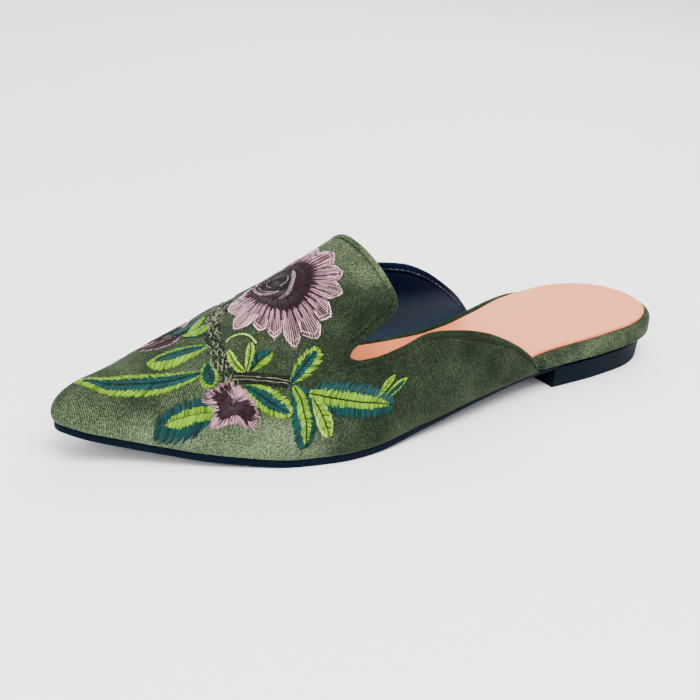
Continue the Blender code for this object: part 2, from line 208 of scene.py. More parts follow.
# The chart: where each share of the way down each side lies, so that patterns can be drawn flat
chartMesh = {"start": 60.0, "toeGap": 0.01, "stations": 361, "turns": 121, "shares": 181}
turnSteps = np.linspace(0, rightAngle, chartMesh["turns"])
shareSteps = np.linspace(0, 1, chartMesh["shares"])
chartX = np.sin(np.linspace(0, rightAngle, chartMesh["stations"]))
chartX = chartMesh["start"] + (last["length"] - chartMesh["start"] - chartMesh["toeGap"]) * chartX
girths, turnTable = [], []
for side in (1, -1):
    ribs = lastPoints(chartX[:, None], side * np.maximum(turnSteps, 1e-6)[None])
    runs = runAlong(ribs)
    girths.append(runs[:, -1])
    turnTable.append([np.interp(shareSteps * run[-1], run, turnSteps) for run in runs])
turnTable = np.array(turnTable)


def girth(x, side):
    return np.where(np.asarray(side) > 0, np.interp(x, chartX, girths[0]), np.interp(x, chartX, girths[1]))


def turnAt(x, share):
    row = np.interp(x, chartX, np.arange(len(chartX)))
    low = np.minimum(row.astype(int), len(chartX) - 2)
    column = np.minimum(np.abs(share), 1) * (len(shareSteps) - 1)
    left = np.minimum(column.astype(int), len(shareSteps) - 2)
    which = np.where(share >= 0, 0, 1)
    a, b = row - low, column - left
    near = turnTable[which, low, left] * (1 - b) + turnTable[which, low, left + 1] * b
    far = turnTable[which, low + 1, left] * (1 - b) + turnTable[which, low + 1, left + 1] * b
    return np.where(share >= 0, 1, -1) * (near * (1 - a) + far * a)


def onLast(x, share, lift):
    # points over the last and their directions out of it, in millimetres
    x, share, lift = arrays(x, share, lift)
    turn = turnAt(x, share)
    points = lastPoints(x, turn)
    normals = lastNormals(x, turn)
    low = 1 - np.clip((points[..., 2] - featherZ(x)) / last["liftHeight"], 0, 1)
    points = points + lift[..., None] * normals
    points[..., 2] += low * (featherZ(points[..., 0]) - featherZ(x)) * lift / last["wall"]
    return points, normals


def onVelvet(x, reach, lift):
    # the same from a station and a distance down the side, over the velvet's face
    x, reach = arrays(x, reach)
    side = np.where(reach >= 0, 1, -1)
    return onLast(x, reach / np.maximum(girth(x, side), 1e-6), last["wall"] + lift)


shareSearch = np.linspace(0, 1, 400)


def heightShare(x, z, side):
    # share of the way down the side at which the last is as high as z
    power = tableAt(last["ridge"], 2, x) / 2
    level = np.clip((z - featherZ(x)) / lastHeight(x), 0, 1)
    turns = np.abs(turnAt(np.full(len(shareSearch), float(x)), side * shareSearch))
    return side * float(np.interp(math.acos(float(level) ** power), turns, shareSearch))


def roundIn(t):
    t = min(max(t, 0.0), 1.0)
    return math.sqrt(1 - (1 - t) ** 2)


def notch(side):
    station, reach = throat["lateralNotch"] if side > 0 else throat["medialNotch"]
    return station, side * reach / float(girth(station, side))


def intoNotch(x, side, inset, share):
    # an edge of the pattern, bent round into the notch
    station, notchShare = notch(side)
    level = notchShare * float(girth(station, side)) / float(girth(x, side))
    return level + (share - level) * roundIn((station + inset - x) / (throat["notchRadius"] + inset))


def sideTable(rows, side, x):
    return float(tableAt(rows, 1 if side > 0 else 2, x))


def tongueSide(x, side, inset):
    share = side * (sideTable(throat["tongue"], side, x) - inset) / float(girth(x, side))
    return intoNotch(x, side, inset, share)


def wingTop(x, side, inset):
    share = heightShare(x, sideTable(throat["wings"], side, x), side) + side * inset / float(girth(x, side))
    return side * min(abs(intoNotch(x, side, inset, share)), 1)


def eased(start, end, count):
    return [start + (end - start) * (1 - math.cos(math.pi * i / count)) / 2 for i in range(count + 1)]


def wingGrid(side, inset, rows, columns):
    end = throat["wingEnds"][0 if side > 0 else 1] + throat["endLean"] * inset
    grid = []
    for x in eased(end, notch(side)[0] + inset, rows):
        top = side if x == end else wingTop(x, side, inset)
        row = [(x, side + (top - side) * j / columns) for j in range(columns + 1)]
        grid.append(row if side > 0 else row[::-1])
    return grid


def tonguePoint(way, across, inset):
    side = 1 if across >= 0 else -1
    lateralEnd, medialEnd = throat["lateralNotch"][0] + inset, throat["medialNotch"][0] + inset
    backEdge = throat["tongueBack"] + inset
    corner = throat["cornerRadius"] - inset
    edgeX = backEdge - throat["tongueDip"]
    edgeX += ((lateralEnd if side > 0 else medialEnd) - edgeX) * way
    reach = abs(tongueSide(edgeX, side, inset)) * float(girth(edgeX, side))
    length = abs(across) * reach
    front = medialEnd + (lateralEnd - medialEnd) * (across + 1) / 2
    back = backEdge - throat["tongueDip"] * across ** 2
    x = back + (front - back) * way
    toBack, toSide = corner - (x - back), corner - (reach - length)
    if toBack > 0 and toSide > 0:
        shrink = max(toBack, toSide) / math.hypot(toBack, toSide)
        x = back + corner - toBack * shrink
        length = reach - corner + toSide * shrink
    return x, side * length / float(girth(x, side))


def tongueGrid(inset, rows, columns):
    return [[tonguePoint(way, 1 - 2 * j / columns, inset) for j in range(columns + 1)] for way in eased(0, 1, rows)]


def vampGrid(inset, rows, wingColumns, tongueColumns):
    first = wingGrid(1, inset, 1, wingColumns)[-1][:-1]
    first += tongueGrid(inset, 1, tongueColumns)[-1]
    first += wingGrid(-1, inset, 1, wingColumns)[-1][1:]
    ways = [math.sin(rightAngle * i / rows) for i in range(rows + 1)]
    return [[(x + (last["length"] - x) * way, share) for x, share in first] for way in ways]


def upperGrids(inset):
    wings = [wingGrid(side, inset, *throat["wingMesh"]) for side in (1, -1)]
    tongue = tongueGrid(inset, *throat["tongueMesh"])
    return wings, tongue, vampGrid(inset, throat["vampRows"], throat["wingMesh"][1], throat["tongueMesh"][1])


def rimPoints(wings, tongue):
    # the top edge in order: lateral wing from the heel, round the tongue, medial wing
    rim = [row[-1] for row in wings[0]]
    rim += [row[0] for row in tongue[::-1]][1:]
    rim += tongue[0][1:]
    rim += [row[-1] for row in tongue[1:]]
    return rim + [row[0] for row in wings[1][::-1]][1:]


def gridFaces(rows):
    # faces between rows of point numbers; corners that fall together are dropped
    faces = []
    for near, far in zip(rows, rows[1:]):
        for j in range(len(near) - 1):
            corners = [near[j], near[j + 1], far[j + 1], far[j]]
            face = [corner for k, corner in enumerate(corners) if corner != corners[k - 1]]
            if len(face) > 2:
                faces.append(face)
    return faces


def ringFaces(rings, count):
    # faces between closed rings of points that follow each other
    faces = []
    for near in range(0, (rings - 1) * count, count):
        for k in range(count):
            after = (k + 1) % count
            faces.append([near + k, near + after, near + count + after, near + count + k])
    return faces


def upperChart(inset):
    # chart points and faces of the whole pattern, and the numbers of the points along its top edge
    wings, tongue, vamp = upperGrids(inset)
    index, faces = {}, []

    def number(point):
        x, share = point
        key = (last["length"], 0.0) if x >= last["length"] - 1e-9 else (round(x, 4), round(share, 5))
        return index.setdefault(key, len(index))

    for grid in (*wings, tongue, vamp):
        faces += gridFaces([[number(point) for point in row] for row in grid])
    rim = [number(point) for point in rimPoints(wings, tongue)]
    rim = [corner for k, corner in enumerate(rim) if k == 0 or corner != rim[k - 1]]
    chart = np.array(list(index))
    return chart[:, 0], chart[:, 1], faces, rim


def walk(x, reach, way, distance, lift):
    # chart points reached by going over the last along directions in space
    small = np.where(reach > 0, -0.05, 0.05)
    here = onVelvet(x, reach, lift)[0]
    alongX = (onVelvet(x + small, reach, lift)[0] - here) / small[:, None]
    alongG = (onVelvet(x, reach + small, lift)[0] - here) / small[:, None]
    a, b, c = (alongX ** 2).sum(-1), (alongX * alongG).sum(-1), (alongG ** 2).sum(-1)
    p, q = (alongX * way).sum(-1) * distance, (alongG * way).sum(-1) * distance
    under = a * c - b * b
    return x + (p * c - q * b) / under, reach + (q * a - p * b) / under


def addObject(name, data):
    thing = bpy.data.objects.new(name, data)
    bpy.context.scene.collection.objects.link(thing)
    return thing


def addPiece(name, points, faces, material, replaces=(), smoothAngle=180.0):
    # points in millimetres from the heel's back; the piece rides on the shoe
    mesh = bpy.data.meshes.new(name)
    mesh.from_pydata(((np.asarray(points) - last["middle"]) * mm).tolist(), [], [list(face) for face in faces])
    mesh.validate()
    mesh.shade_smooth()
    if smoothAngle < 180:
        mesh.set_sharp_from_angle(angle=math.radians(smoothAngle))
    mesh.materials.append(material)
    piece = addObject(name, mesh)
    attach(piece, "root")
    if replaces:
        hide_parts(*replaces)
    return piece


def newMaterial(name, colour, sockets):
    material = bpy.data.materials.new(name)
    material.use_nodes = True
    shader = material.node_tree.nodes["Principled BSDF"]
    for socket, value in {"Base Color": (*colour, 1), **sockets}.items():
        shader.inputs[socket].default_value = value
    return material, material.node_tree, shader


def addNode(tree, kind, inputs, **settings):
    # a shader node whose inputs are set to values or joined to other nodes
    node = tree.nodes.new("ShaderNode" + kind)
    for key, value in settings.items():
        setattr(node, key, value)
    for socket, value in inputs.items():
        if isinstance(value, bpy.types.NodeSocket):
            tree.links.new(value, node.inputs[socket])
        else:
            node.inputs[socket].default_value = value
    return node


def noiseNode(tree, coordinate, scale, detail=3.0, roughness=0.5):
    inputs = {"Vector": coordinate, "Scale": scale, "Detail": detail, "Roughness": roughness}
    return addNode(tree, "TexNoise", inputs).outputs["Fac"]


def mathNode(tree, operation, *inputs):
    return addNode(tree, "Math", dict(enumerate(inputs)), operation=operation).outputs[0]


def rangeNode(tree, value, low, high, fromLow, fromHigh):
    # goes smoothly from low to high while the value goes from fromLow to fromHigh
    inputs = {"Value": value, "From Min": fromLow, "From Max": fromHigh, "To Min": low, "To Max": high}
    return addNode(tree, "MapRange", inputs, interpolation_type="SMOOTHSTEP").outputs["Result"]


def rampNode(tree, factor, stops):
    ramp = addNode(tree, "ValToRGB", {"Fac": factor})
    elements = ramp.color_ramp.elements
    while len(elements) < len(stops):
        elements.new(0.5)
    for element, (place, colour) in zip(elements, stops):
        element.position = place
        element.color = (*colour, 1)
    return ramp.outputs["Color"]


def mixNode(tree, kind, factor, first, second):
    inputs = {"Factor": factor, "A": first, "B": second}
    return addNode(tree, "Mix", inputs, data_type="RGBA", blend_type=kind).outputs["Result"]


def bumpNode(tree, shader, layers):
    # layers of height, each with its depth in metres
    normal = {}
    for height, depth in layers:
        bump = addNode(tree, "Bump", {"Distance": depth, "Height": height, **normal})
        normal = {"Normal": bump.outputs["Normal"]}
    tree.links.new(normal["Normal"], shader.inputs["Normal"])


def objectCoordinate(tree):
    return addNode(tree, "TexCoord", {}).outputs["Object"]


def axesOf(tree, coordinate):
    # distance forward of the shoe's middle and height over the floor, in metres
    axes = addNode(tree, "SeparateXYZ", {"Vector": coordinate})
    return axes.outputs["X"], axes.outputs["Z"]


# Camera and light
view = {
    "place": (0.28508, 0.38875, 0.22843), "azimuth": 34.728, "elevation": 23.616, "roll": 3.718,
    "focalLength": 69.4, "sensor": 36.0, "clip": (0.01, 20.0),
}
world = {"colour": (0.93, 0.95, 1.0), "strength": 1.40}
floorLook = {
    "flat": 2.2, "bend": 1.6, "rows": 14, "around": 72,
    "dark": (0.895, 0.895, 0.89), "pale": (0.91, 0.91, 0.91), "mottle": 3.0,
    "shader": {"Roughness": 0.9, "Specular IOR Level": 0.2},
}
lights = [
    # name, place, aim, size, power, colour
    ("keyLight", (0.10, 0.55, 1.05), (0.02, 0.0, 0.02), (0.8, 0.7), 32.0, (1.0, 0.985, 0.96)),
    ("fillLight", (1.00, 0.35, 0.50), (0.03, 0.0, 0.02), (0.8, 0.8), 9.0, (0.95, 0.98, 1.0)),
    ("backLight", (-0.55, -0.60, 0.70), (0.0, 0.0, 0.03), (0.9, 0.6), 8.0, (1.0, 1.0, 1.0)),
]


def addCamera():
    azimuth, elevation = math.radians(view["azimuth"]), math.radians(view["elevation"])
    back = Vector((
        math.sin(azimuth) * math.cos(elevation), math.cos(azimuth) * math.cos(elevation), math.sin(elevation),
    ))
    data = bpy.data.cameras.new("camera")
    data.sensor_width = view["sensor"]
    data.lens = view["focalLength"]
    data.clip_start, data.clip_end = view["clip"]
    camera = addObject("camera", data)
    camera.location = view["place"]
    camera.rotation_mode = "QUATERNION"
    level = (-back).to_track_quat("-Z", "Y")
    camera.rotation_quaternion = level @ Quaternion((0, 0, 1), math.radians(view["roll"]))
    bpy.context.scene.camera = camera


def addLights():
    for name, place, aim, size, power, colour in lights:
        data = bpy.data.lights.new(name, "AREA")
        data.shape = "RECTANGLE"
        data.size, data.size_y = size
        data.energy = power
        data.color = colour
        lamp = addObject(name, data)
        lamp.location = place
        lamp.rotation_mode = "QUATERNION"
        lamp.rotation_quaternion = (Vector(aim) - Vector(place)).to_track_quat("-Z", "Y")
    studio = bpy.data.worlds.new("studio")
    studio.use_nodes = True
    background = studio.node_tree.nodes["Background"]
    background.inputs["Color"].default_value = (*world["colour"], 1)
    background.inputs["Strength"].default_value = world["strength"]
    bpy.context.scene.world = studio


def addFloor():
    # a pale floor that curves up far behind the shoe on every side
    look = floorLook
    material, tree, shader = newMaterial("paleFloor", look["pale"], look["shader"])
    mottle = noiseNode(tree, objectCoordinate(tree), look["mottle"])
    tone = rampNode(tree, mottle, [(0.3, look["dark"]), (0.7, look["pale"])])
    tree.links.new(tone, shader.inputs["Base Color"])
    rows, count = look["rows"], look["around"]
    points = []
    for i in range(rows + 1):
        rise = rightAngle * i / rows
        reach, height = look["flat"] + look["bend"] * math.sin(rise), look["bend"] * (1 - math.cos(rise))
        turns = [2 * math.pi * k / count for k in range(count)]
        points += [(reach * math.cos(turn), reach * math.sin(turn), height) for turn in turns]
    faces = [list(range(count))] + [[a, d, c, b] for a, b, c, d in ringFaces(rows + 1, count)]
    mesh = bpy.data.meshes.new("floor")
    mesh.from_pydata(points, [], faces)
    mesh.shade_smooth()
    mesh.materials.append(material)
    addObject("floor", mesh)


addCamera()
addLights()
addFloor()
print("camera, lights and floor")

# Finishes
velvetLook = {
    "dark": (0.0052, 0.0094, 0.0043), "middle": (0.0152, 0.0236, 0.0120), "pale": (0.080, 0.110, 0.058),
    "shader": {
        "Roughness": 0.85, "Specular IOR Level": 0.06, "Sheen Weight": 0.12, "Sheen Roughness": 0.35,
        "Sheen Tint": (0.55, 0.68, 0.42, 1),
    },
    # flecks of pile: size, depth, and how much each third of them darkens or lifts the tone
    "speckSize": 0.00052, "speckDepth": 0.00014,
    "speckTones": [(0.36, (0.32, 0.32, 0.32)), (0.5, (0.88, 0.88, 0.88)), (0.64, (2.1, 2.1, 2.05))],
    "patchScale": 55.0, "patchSpan": 0.44, "napDepth": 0.00025, "toneStops": (0.28, 0.50, 0.86),
    # detail and roughness of the noise of the flecks and of the patches
    "speckNoise": (2.0, 0.7), "patchNoise": (5.0, 0.62),
    "ribPitch": 0.00068, "ribDepth": 0.00007, "ribTone": 0.11, "ribScale": 28.0, "ribsIn": (0.1, 1.0, 0.42, 0.60),
    # where a tone comes in or fades, in metres: forward of the shoe's middle, and above the floor
    "ribsFrom": (-0.122, -0.095), "foreFrom": (0.030, 0.072), "foreTop": (0.007, 0.027),
    "wingsTo": (0.032, 0.066), "wingTop": (0.046, 0.060), "seatTo": (-0.085, -0.045), "seatTop": (0.020, 0.024),
    "tongueFrom": (0.045, 0.062),
    # painted sheen, pale low on the forepart, round the heel seat and high on the tongue; painted shade, dark on the
    # wings
    "forePaintedSheen": 0.34, "wingPaintedShade": -0.12, "seatPaintedSheen": 0.16, "tonguePaintedSheen": 0.12,
}
plainLooks = {
    # grain: its size and depth, then the depth of the broad waves
    "navyLining": {
        "deep": (0.0004, 0.0020, 0.0085), "light": (0.0014, 0.0048, 0.0150), "grain": (0.0008, 0.00004, 0.00016),
        "shader": {"Roughness": 0.48, "Specular IOR Level": 0.06, "Specular Tint": (0.20, 0.40, 1.0, 1)},
        # paler near the footbed, a painted sheen: heights between which it fades, in metres
        "low": (0.0190, 0.0320, 0.0500), "fade": (0.024, 0.036), "waver": 0.006,
    },
    "blushLeather": {
        "deep": (0.640, 0.166, 0.056), "light": (0.690, 0.190, 0.068), "grain": (0.0007, 0.00004, 0.00025),
        "shader": {"Roughness": 0.50, "Coat Weight": 0.06, "Coat Roughness": 0.4},
    },
    "navyRubber": {
        "deep": (0.0008, 0.0026, 0.0062), "light": (0.0015, 0.0046, 0.0100), "grain": (0.0006, 0.00005, 0.00015),
        "shader": {"Roughness": 0.60, "Specular IOR Level": 0.04, "Specular Tint": (0.45, 0.70, 1.0, 1)},
    },
}
# broad waves of all three: size, and the spans over which they change the colour and the gloss
broad = {"scale": 60.0, "colourAt": (0.3, 0.7), "glossAt": (0.35, 0.65), "gloss": (-0.05, 0.07)}


def makeVelvet():
    # crushed nap: flecks of raised pile, fine rows across the foot, and zones of painted sheen and painted shade
    look = velvetLook
    material, tree, shader = newMaterial("oliveVelvet", look["middle"], look["shader"])
    place = objectCoordinate(tree)
    ahead, height = axesOf(tree, place)

    def times(first, second):
        return mathNode(tree, "MULTIPLY", first, second)

    specks = noiseNode(tree, place, 1 / look["speckSize"], *look["speckNoise"])
    patches = noiseNode(tree, place, look["patchScale"], *look["patchNoise"])
    ribs = mathNode(tree, "SINE", times(ahead, 2 * math.pi / look["ribPitch"]))
    ribMask = rangeNode(tree, noiseNode(tree, place, look["ribScale"], 2.0), *look["ribsIn"])
    ribs = times(ribs, times(ribMask, rangeNode(tree, ahead, 0.0, 1.0, *look["ribsFrom"])))
    fore = rangeNode(tree, ahead, 0.0, look["forePaintedSheen"], *look["foreFrom"])
    wings = rangeNode(tree, ahead, look["wingPaintedShade"], 0.0, *look["wingsTo"])
    seat = rangeNode(tree, ahead, 1.0, 0.0, *look["seatTo"])
    # painted light: sheen low on the forepart, round the heel seat and on the tongue, shade on the wings; then the
    # ribs' own tone
    paintedLightAndRibs = [
        times(rangeNode(tree, height, 1.0, 0.0, *look["foreTop"]), fore),
        times(wings, rangeNode(tree, height, 1.0, 0.0, *look["wingTop"])),
        times(seat, rangeNode(tree, height, look["seatPaintedSheen"], 0.0, *look["seatTop"])),
        rangeNode(tree, height, 0.0, look["tonguePaintedSheen"], *look["tongueFrom"]),
        times(ribs, look["ribTone"]),
    ]
    tone = rangeNode(tree, patches, 0.5 - look["patchSpan"] / 2, 0.5 + look["patchSpan"] / 2, 0.0, 1.0)
    for zone in paintedLightAndRibs:
        tone = mathNode(tree, "ADD", tone, zone)
    # the random patches, the painted sheen and shade, and the ribs together set the colour
    patchesAndPaintedLight = rampNode(tree, tone, list(zip(look["toneStops"], (look["dark"], look["middle"], look["pale"]))))
    flecked = mixNode(tree, "MULTIPLY", 1.0, patchesAndPaintedLight, rampNode(tree, specks, look["speckTones"]))
    tree.links.new(flecked, shader.inputs["Base Color"])
    bumpNode(tree, shader, [(patches, look["napDepth"]), (ribs, look["ribDepth"]), (specks, look["speckDepth"])])
    return material


def makePlain(name):
    look = plainLooks[name]
    material, tree, shader = newMaterial(name, look["light"], look["shader"])
    grainSize, grainDepth, broadDepth = look["grain"]
    place = objectCoordinate(tree)
    grain = noiseNode(tree, place, 1 / grainSize, 2.0)
    waves = noiseNode(tree, place, broad["scale"])
    colour = rampNode(tree, waves, list(zip(broad["colourAt"], (look["deep"], look["light"]))))
    # painted sheen: the lining turns paler near the footbed
    if "low" in look:
        height = mathNode(tree, "ADD", axesOf(tree, place)[1], mathNode(tree, "MULTIPLY", waves, look["waver"]))
        colour = mixNode(tree, "MIX", rangeNode(tree, height, 1.0, 0.0, *look["fade"]), colour, (*look["low"], 1))
    tree.links.new(colour, shader.inputs["Base Color"])
    roughness = (look["shader"]["Roughness"] + step for step in broad["gloss"])
    gloss = rangeNode(tree, waves, *roughness, *broad["glossAt"])
    tree.links.new(gloss, shader.inputs["Roughness"])
    bumpNode(tree, shader, [(waves, broadDepth), (grain, grainDepth)])
    return material


oliveVelvet = makeVelvet()
navyLining, blushLeather, navyRubber = (makePlain(name) for name in plainLooks)

# The upper: velvet turned in over the wall, stitched down beside its edge, and a navy lining inside it
upperCut = {
    "inset": 3.3, "velvetInside": 0.95, "liningThick": 0.85,
    # sections of the edges: distance from the edge, height over the last
    "velvetEdge": [
        (3.0, 1.80), (2.8, 1.62), (2.55, 1.15), (2.3, 1.55), (2.0, 1.86), (1.5, 1.98), (1.0, 1.98), (0.62, 1.91),
        (0.32, 1.75), (0.12, 1.52), (0.03, 1.28), (0.10, 1.08), (0.35, 0.97), (0.8, 0.95), (1.6, 0.95),
    ],
    "liningEdge": [
        (1.6, 0.85), (0.8, 0.85), (0.35, 0.83), (0.12, 0.72), (0.04, 0.50), (0.08, 0.25), (0.3, 0.03), (0.8, -0.08),
        (1.5, -0.10), (2.0, -0.02), (2.3, 0.12), (2.45, 0.20), (2.6, 0.10), (2.9, 0.0),
    ],
    # soft dents: start and end on the chart, half width, depth; how they fade at their ends
    # and towards the lower edge
    "creaseEnds": (0.12, 0.88), "creaseFade": 0.12,
    "creases": [
        ((158, 43.5), (186, 62), 3.0, 0.35), ((150, 52), (170, 66), 4.0, -0.30), ((128, 55), (150, 62), 4.0, 0.25),
        ((200, 44), (212, 52), 5.0, 0.25), ((226, 12), (236, 22), 4.5, 0.2), ((150, 12), (152, 30), 4.0, 0.25),
        ((168, -30), (190, -50), 4.0, 0.3), ((140, -52), (160, -62), 4.0, 0.25),
    ],
}


def creaseDepth(x, share):
    # how far the listed dents push the velvet in
    reach = share * girth(x, np.where(share >= 0, 1, -1))
    depth = np.zeros(np.shape(x))
    for (x0, g0), (x1, g1), wide, deep in upperCut["creases"]:
        run = np.array([x1 - x0, g1 - g0], float)
        t = np.clip(((x - x0) * run[0] + (reach - g0) * run[1]) / (run @ run), 0, 1)
        away = np.hypot(x - x0 - t * run[0], reach - g0 - t * run[1]) / wide
        depth += deep * np.exp(-away ** 2) * np.sin(math.pi * np.clip(t, *upperCut["creaseEnds"]))
    return depth * np.clip((1 - np.abs(share)) / upperCut["creaseFade"], 0, 1)


def outOfEdge(points, normals):
    # level directions out of a top edge given in order
    along = np.gradient(points, axis=0)
    for _ in range(2):
        along[1:-1] = (along[:-2] + 2 * along[1:-1] + along[2:]) / 4
    return unit(np.cross(along, normals))


def edgeRoom(points):
    # distance of each point to the true top edge
    wings, tongue, _ = upperGrids(0.0)
    edge = np.array(rimPoints(wings, tongue))
    edge = onLast(edge[:, 0], edge[:, 1], last["wall"])[0]
    a, b = edge[:-1], edge[1:]
    run = b - a
    size = np.maximum((run ** 2).sum(1), 1e-9)
    t = np.clip(((points[:, None] - a[None]) * run[None]).sum(-1) / size[None], 0, 1)
    return np.linalg.norm(points[:, None] - (a[None] + t[..., None] * run[None]), axis=-1).min(1)


def edgedShell(name, lifts, profile, material, replaces=(), dented=False):
    # an outer and an inner face at two lifts, joined round the top edge by rings of the profile, straight below
    x, share, faces, rim = upperChart(upperCut["inset"])
    face, normals = onLast(x, share, lifts[0])
    base, _ = onLast(x, share, lifts[1])
    if dented:
        face = face - creaseDepth(x, share)[:, None] * normals
    rimX, rimShare = x[rim], share[rim]
    rimReach = rimShare * girth(rimX, rimShare)
    atRim, rimNormals = onLast(rimX, rimShare, last["wall"])
    out = outOfEdge(atRim, rimNormals)
    room = np.minimum(edgeRoom(atRim), upperCut["inset"])
    rings = []
    for away, height in profile:
        distance = room * (1 - away / upperCut["inset"])
        ringX, ringReach = walk(rimX, rimReach, out, distance, 0.0)
        rings.append(onVelvet(ringX, ringReach, height - last["wall"])[0])
    count, length = len(x), len(rim)
    points = np.concatenate([face, base, *rings])
    shell = faces + [[corner + count for corner in f[::-1]] for f in faces]
    edges = {(f[k - 1], f[k]) for f in faces for k in range(len(f))}
    top = set(zip(rim, rim[1:])) | set(zip(rim[1:], rim))
    shell += [[b, a, a + count, b + count] for a, b in edges if (b, a) not in edges and (a, b) not in top]
    loops = [rim] + [list(range(first, first + length)) for first in range(2 * count, len(points), length)]
    loops.append([corner + count for corner in rim])
    forward = (rim[0], rim[1]) in edges
    quads = gridFaces(loops)
    # under the wings' tails the edge runs along the lower edge itself
    quads += [[b, a, a + count, b + count] for a, b in zip(rim, rim[1:]) if not {(a, b), (b, a)} & edges]
    shell += [quad[::-1] if forward else quad for quad in quads]
    for end in (0, -1):
        cap = [loop[end] for loop in loops]
        shell.append(cap if (end == 0) == forward else cap[::-1])
    return addPiece(name, points, shell, material, replaces)


def addUpper():
    edgedShell("upperVelvet", (last["wall"], upperCut["velvetInside"]), upperCut["velvetEdge"],
               oliveVelvet, ("upper",), dented=True)
    edgedShell("upperLining", (upperCut["liningThick"], 0.0), upperCut["liningEdge"], navyLining)


addUpper()
print("upper: velvet and lining")

# Sole, heel, covered board and insole: flat pieces stacked from outlines of the last
flats = {
    "heelBreast": 67.0, "heelInset": 3.2, "heelTaper": 0.8, "soleRound": (0.8, 0.35),
    "randProud": 1.2, "randStep": 2.5, "randRound": (0.7, 2.0), "insoleThick": 1.2, "insoleRound": (0.2, 0.7),
    "insoleDish": (0.35, 0.6), "mostRound": 0.45,
    "insoleBorder": [(60, 1.8), (76, 2.6), (125, 2.4), (160, 1.2), (264, 0.9)],
    # how stations and lids are divided
    "tipSetback": 0.1, "flatSpot": (168.0, 196.0), "stationStep": 2.5, "toeReach": 20.0, "endRows": 26,
    "lidColumns": 24,
}


def boardTop(x):
    return footbedZ(x) - flats["insoleThick"] - last["gap"]


def flatStations(front):
    back, toeReach = last["heelRound"][0], flats["toeReach"]
    turns = [rightAngle * i / flats["endRows"] for i in range(1, flats["endRows"] + 1)]
    stations = [last["heelBack"] + back * (1 - math.cos(turn)) for turn in turns]
    first = last["heelBack"] + back + flats["stationStep"]
    stations += list(np.arange(first, last["length"] - toeReach - 0.5, flats["stationStep"]))
    stations += [*flats["flatSpot"], flats["heelBreast"]]
    for end in throat["wingEnds"]:
        stations += [end - flats["randStep"] - last["gap"], end - last["gap"], end - flats["randStep"] / 2]
    stations += [last["length"] - toeReach * (1 - math.cos(turn)) for turn in turns]
    return sorted(x for x in set(round(float(x), 3) for x in stations) if x <= front)


def addFlat(name, stations, levels, material, replaces, pointed=True, dish=(0.0, 1.0), smoothAngle=50.0):
    # levels from below, each an offset by station and side, and a height by station;
    # dish is how deep the top sinks across, and how evenly
    loop = [(last["heelBack"], float(centreY(last["heelBack"])), -1.0, 0.0)]
    xs = np.array(stations)
    for side in (1, -1):
        outX, outY = outward(xs, side)
        rows = list(zip(xs, outlineY(xs, side), outX, outY))
        loop += rows if side > 0 else rows[::-1]
        if side > 0 and pointed:
            loop.append((last["length"], float(centreY(last["length"])), 1.0, 0.0))
    loop = np.array(loop)
    count = len(loop)
    side = np.where(np.arange(count) <= len(stations), 1, -1)
    points = []
    for offset, height in levels:
        grow = offset(loop[:, 0], side)
        x = loop[:, 0] + grow * loop[:, 2]
        points += np.stack([x, loop[:, 1] + grow * loop[:, 3], height(x)], -1).tolist()
    faces = [[b, a, d, c] for a, b, c, d in ringFaces(len(levels), count)]
    columns = flats["lidColumns"]
    for level, up in ((0, False), (len(levels) - 1, True)):
        base = level * count
        rows = [[base] * (columns + 1)]
        for k in range(1, (count + 1) // 2):
            left, right = base + k, base + count - k
            a, b = np.array(points[left]), np.array(points[right])
            row = [left]
            for j in range(1, columns):
                t = j / columns
                spot = a + (b - a) * t
                spot[2] = levels[level][1](spot[0]) - (dish[0] * (4 * t * (1 - t)) ** dish[1] if up else 0)
                row.append(len(points))
                points.append(spot.tolist())
            rows.append(row + [right])
        if pointed:
            rows.append([base + count // 2] * (columns + 1))
        else:
            left, right = base + (count - 1) // 2, base + (count + 1) // 2
            rows[-1] = [left] * (columns // 2) + [right] * (columns + 1 - columns // 2)
        faces += [face[::-1] if up else face for face in gridFaces(rows)]
    return addPiece(name, points, faces, material, replaces, smoothAngle)


def soleEdgeAt(x, side):
    return tableAt(last["soleEdge"], 1, x)


def randEdge(x, side):
    end = np.where(side > 0, throat["wingEnds"][0], throat["wingEnds"][1])
    covered = np.clip((x - (end - flats["randStep"] - last["gap"])) / flats["randStep"], 0, 1)
    return flats["randProud"] - (flats["randProud"] + last["gap"]) * covered


def insoleEdge(x, side):
    # a border of the covered board shows beside it, also along the lining of the waist
    return -tableAt(flats["insoleBorder"], 1, x)


def roundedLevels(edge, bottom, top, rounds, steps=4):
    # a side with its lower and its upper edge rounded
    def level(cut, rise, upper):
        def height(x):
            held = np.minimum(rise, (top(x) - bottom(x)) * flats["mostRound"])
            return top(x) - held if upper else bottom(x) + held

        return (lambda x, side: edge(x, side) - cut), height

    low, high = rounds
    turns = [rightAngle * i / steps for i in range(steps + 1)]
    levels = [level(low * (1 - math.sin(turn)), low * (1 - math.cos(turn)), False) for turn in turns]
    return levels + [level(high * (1 - math.cos(turn)), high * (1 - math.sin(turn)), True) for turn in turns]


def heelLevels():
    # how far each ring is set in, then its height as a share of the room under the sole and a lift
    gap, taper, edge = last["gap"], flats["heelTaper"], flats["randProud"] - flats["heelInset"]
    rings = [
        (taper + 0.4, 0.0, 0.0), (taper + 0.1, 0.0, 0.15), (taper, 0.0, 0.5), (taper / 2, 0.5, 0.0),
        (0.0, 1.0, -gap - 0.3), (0.25, 1.0, -gap),
    ]

    def level(cut, share, lift):
        return (lambda x, side: 0 * x + edge - cut), (lambda x: soleUnder(x) * share + lift)

    return [level(*ring) for ring in rings]


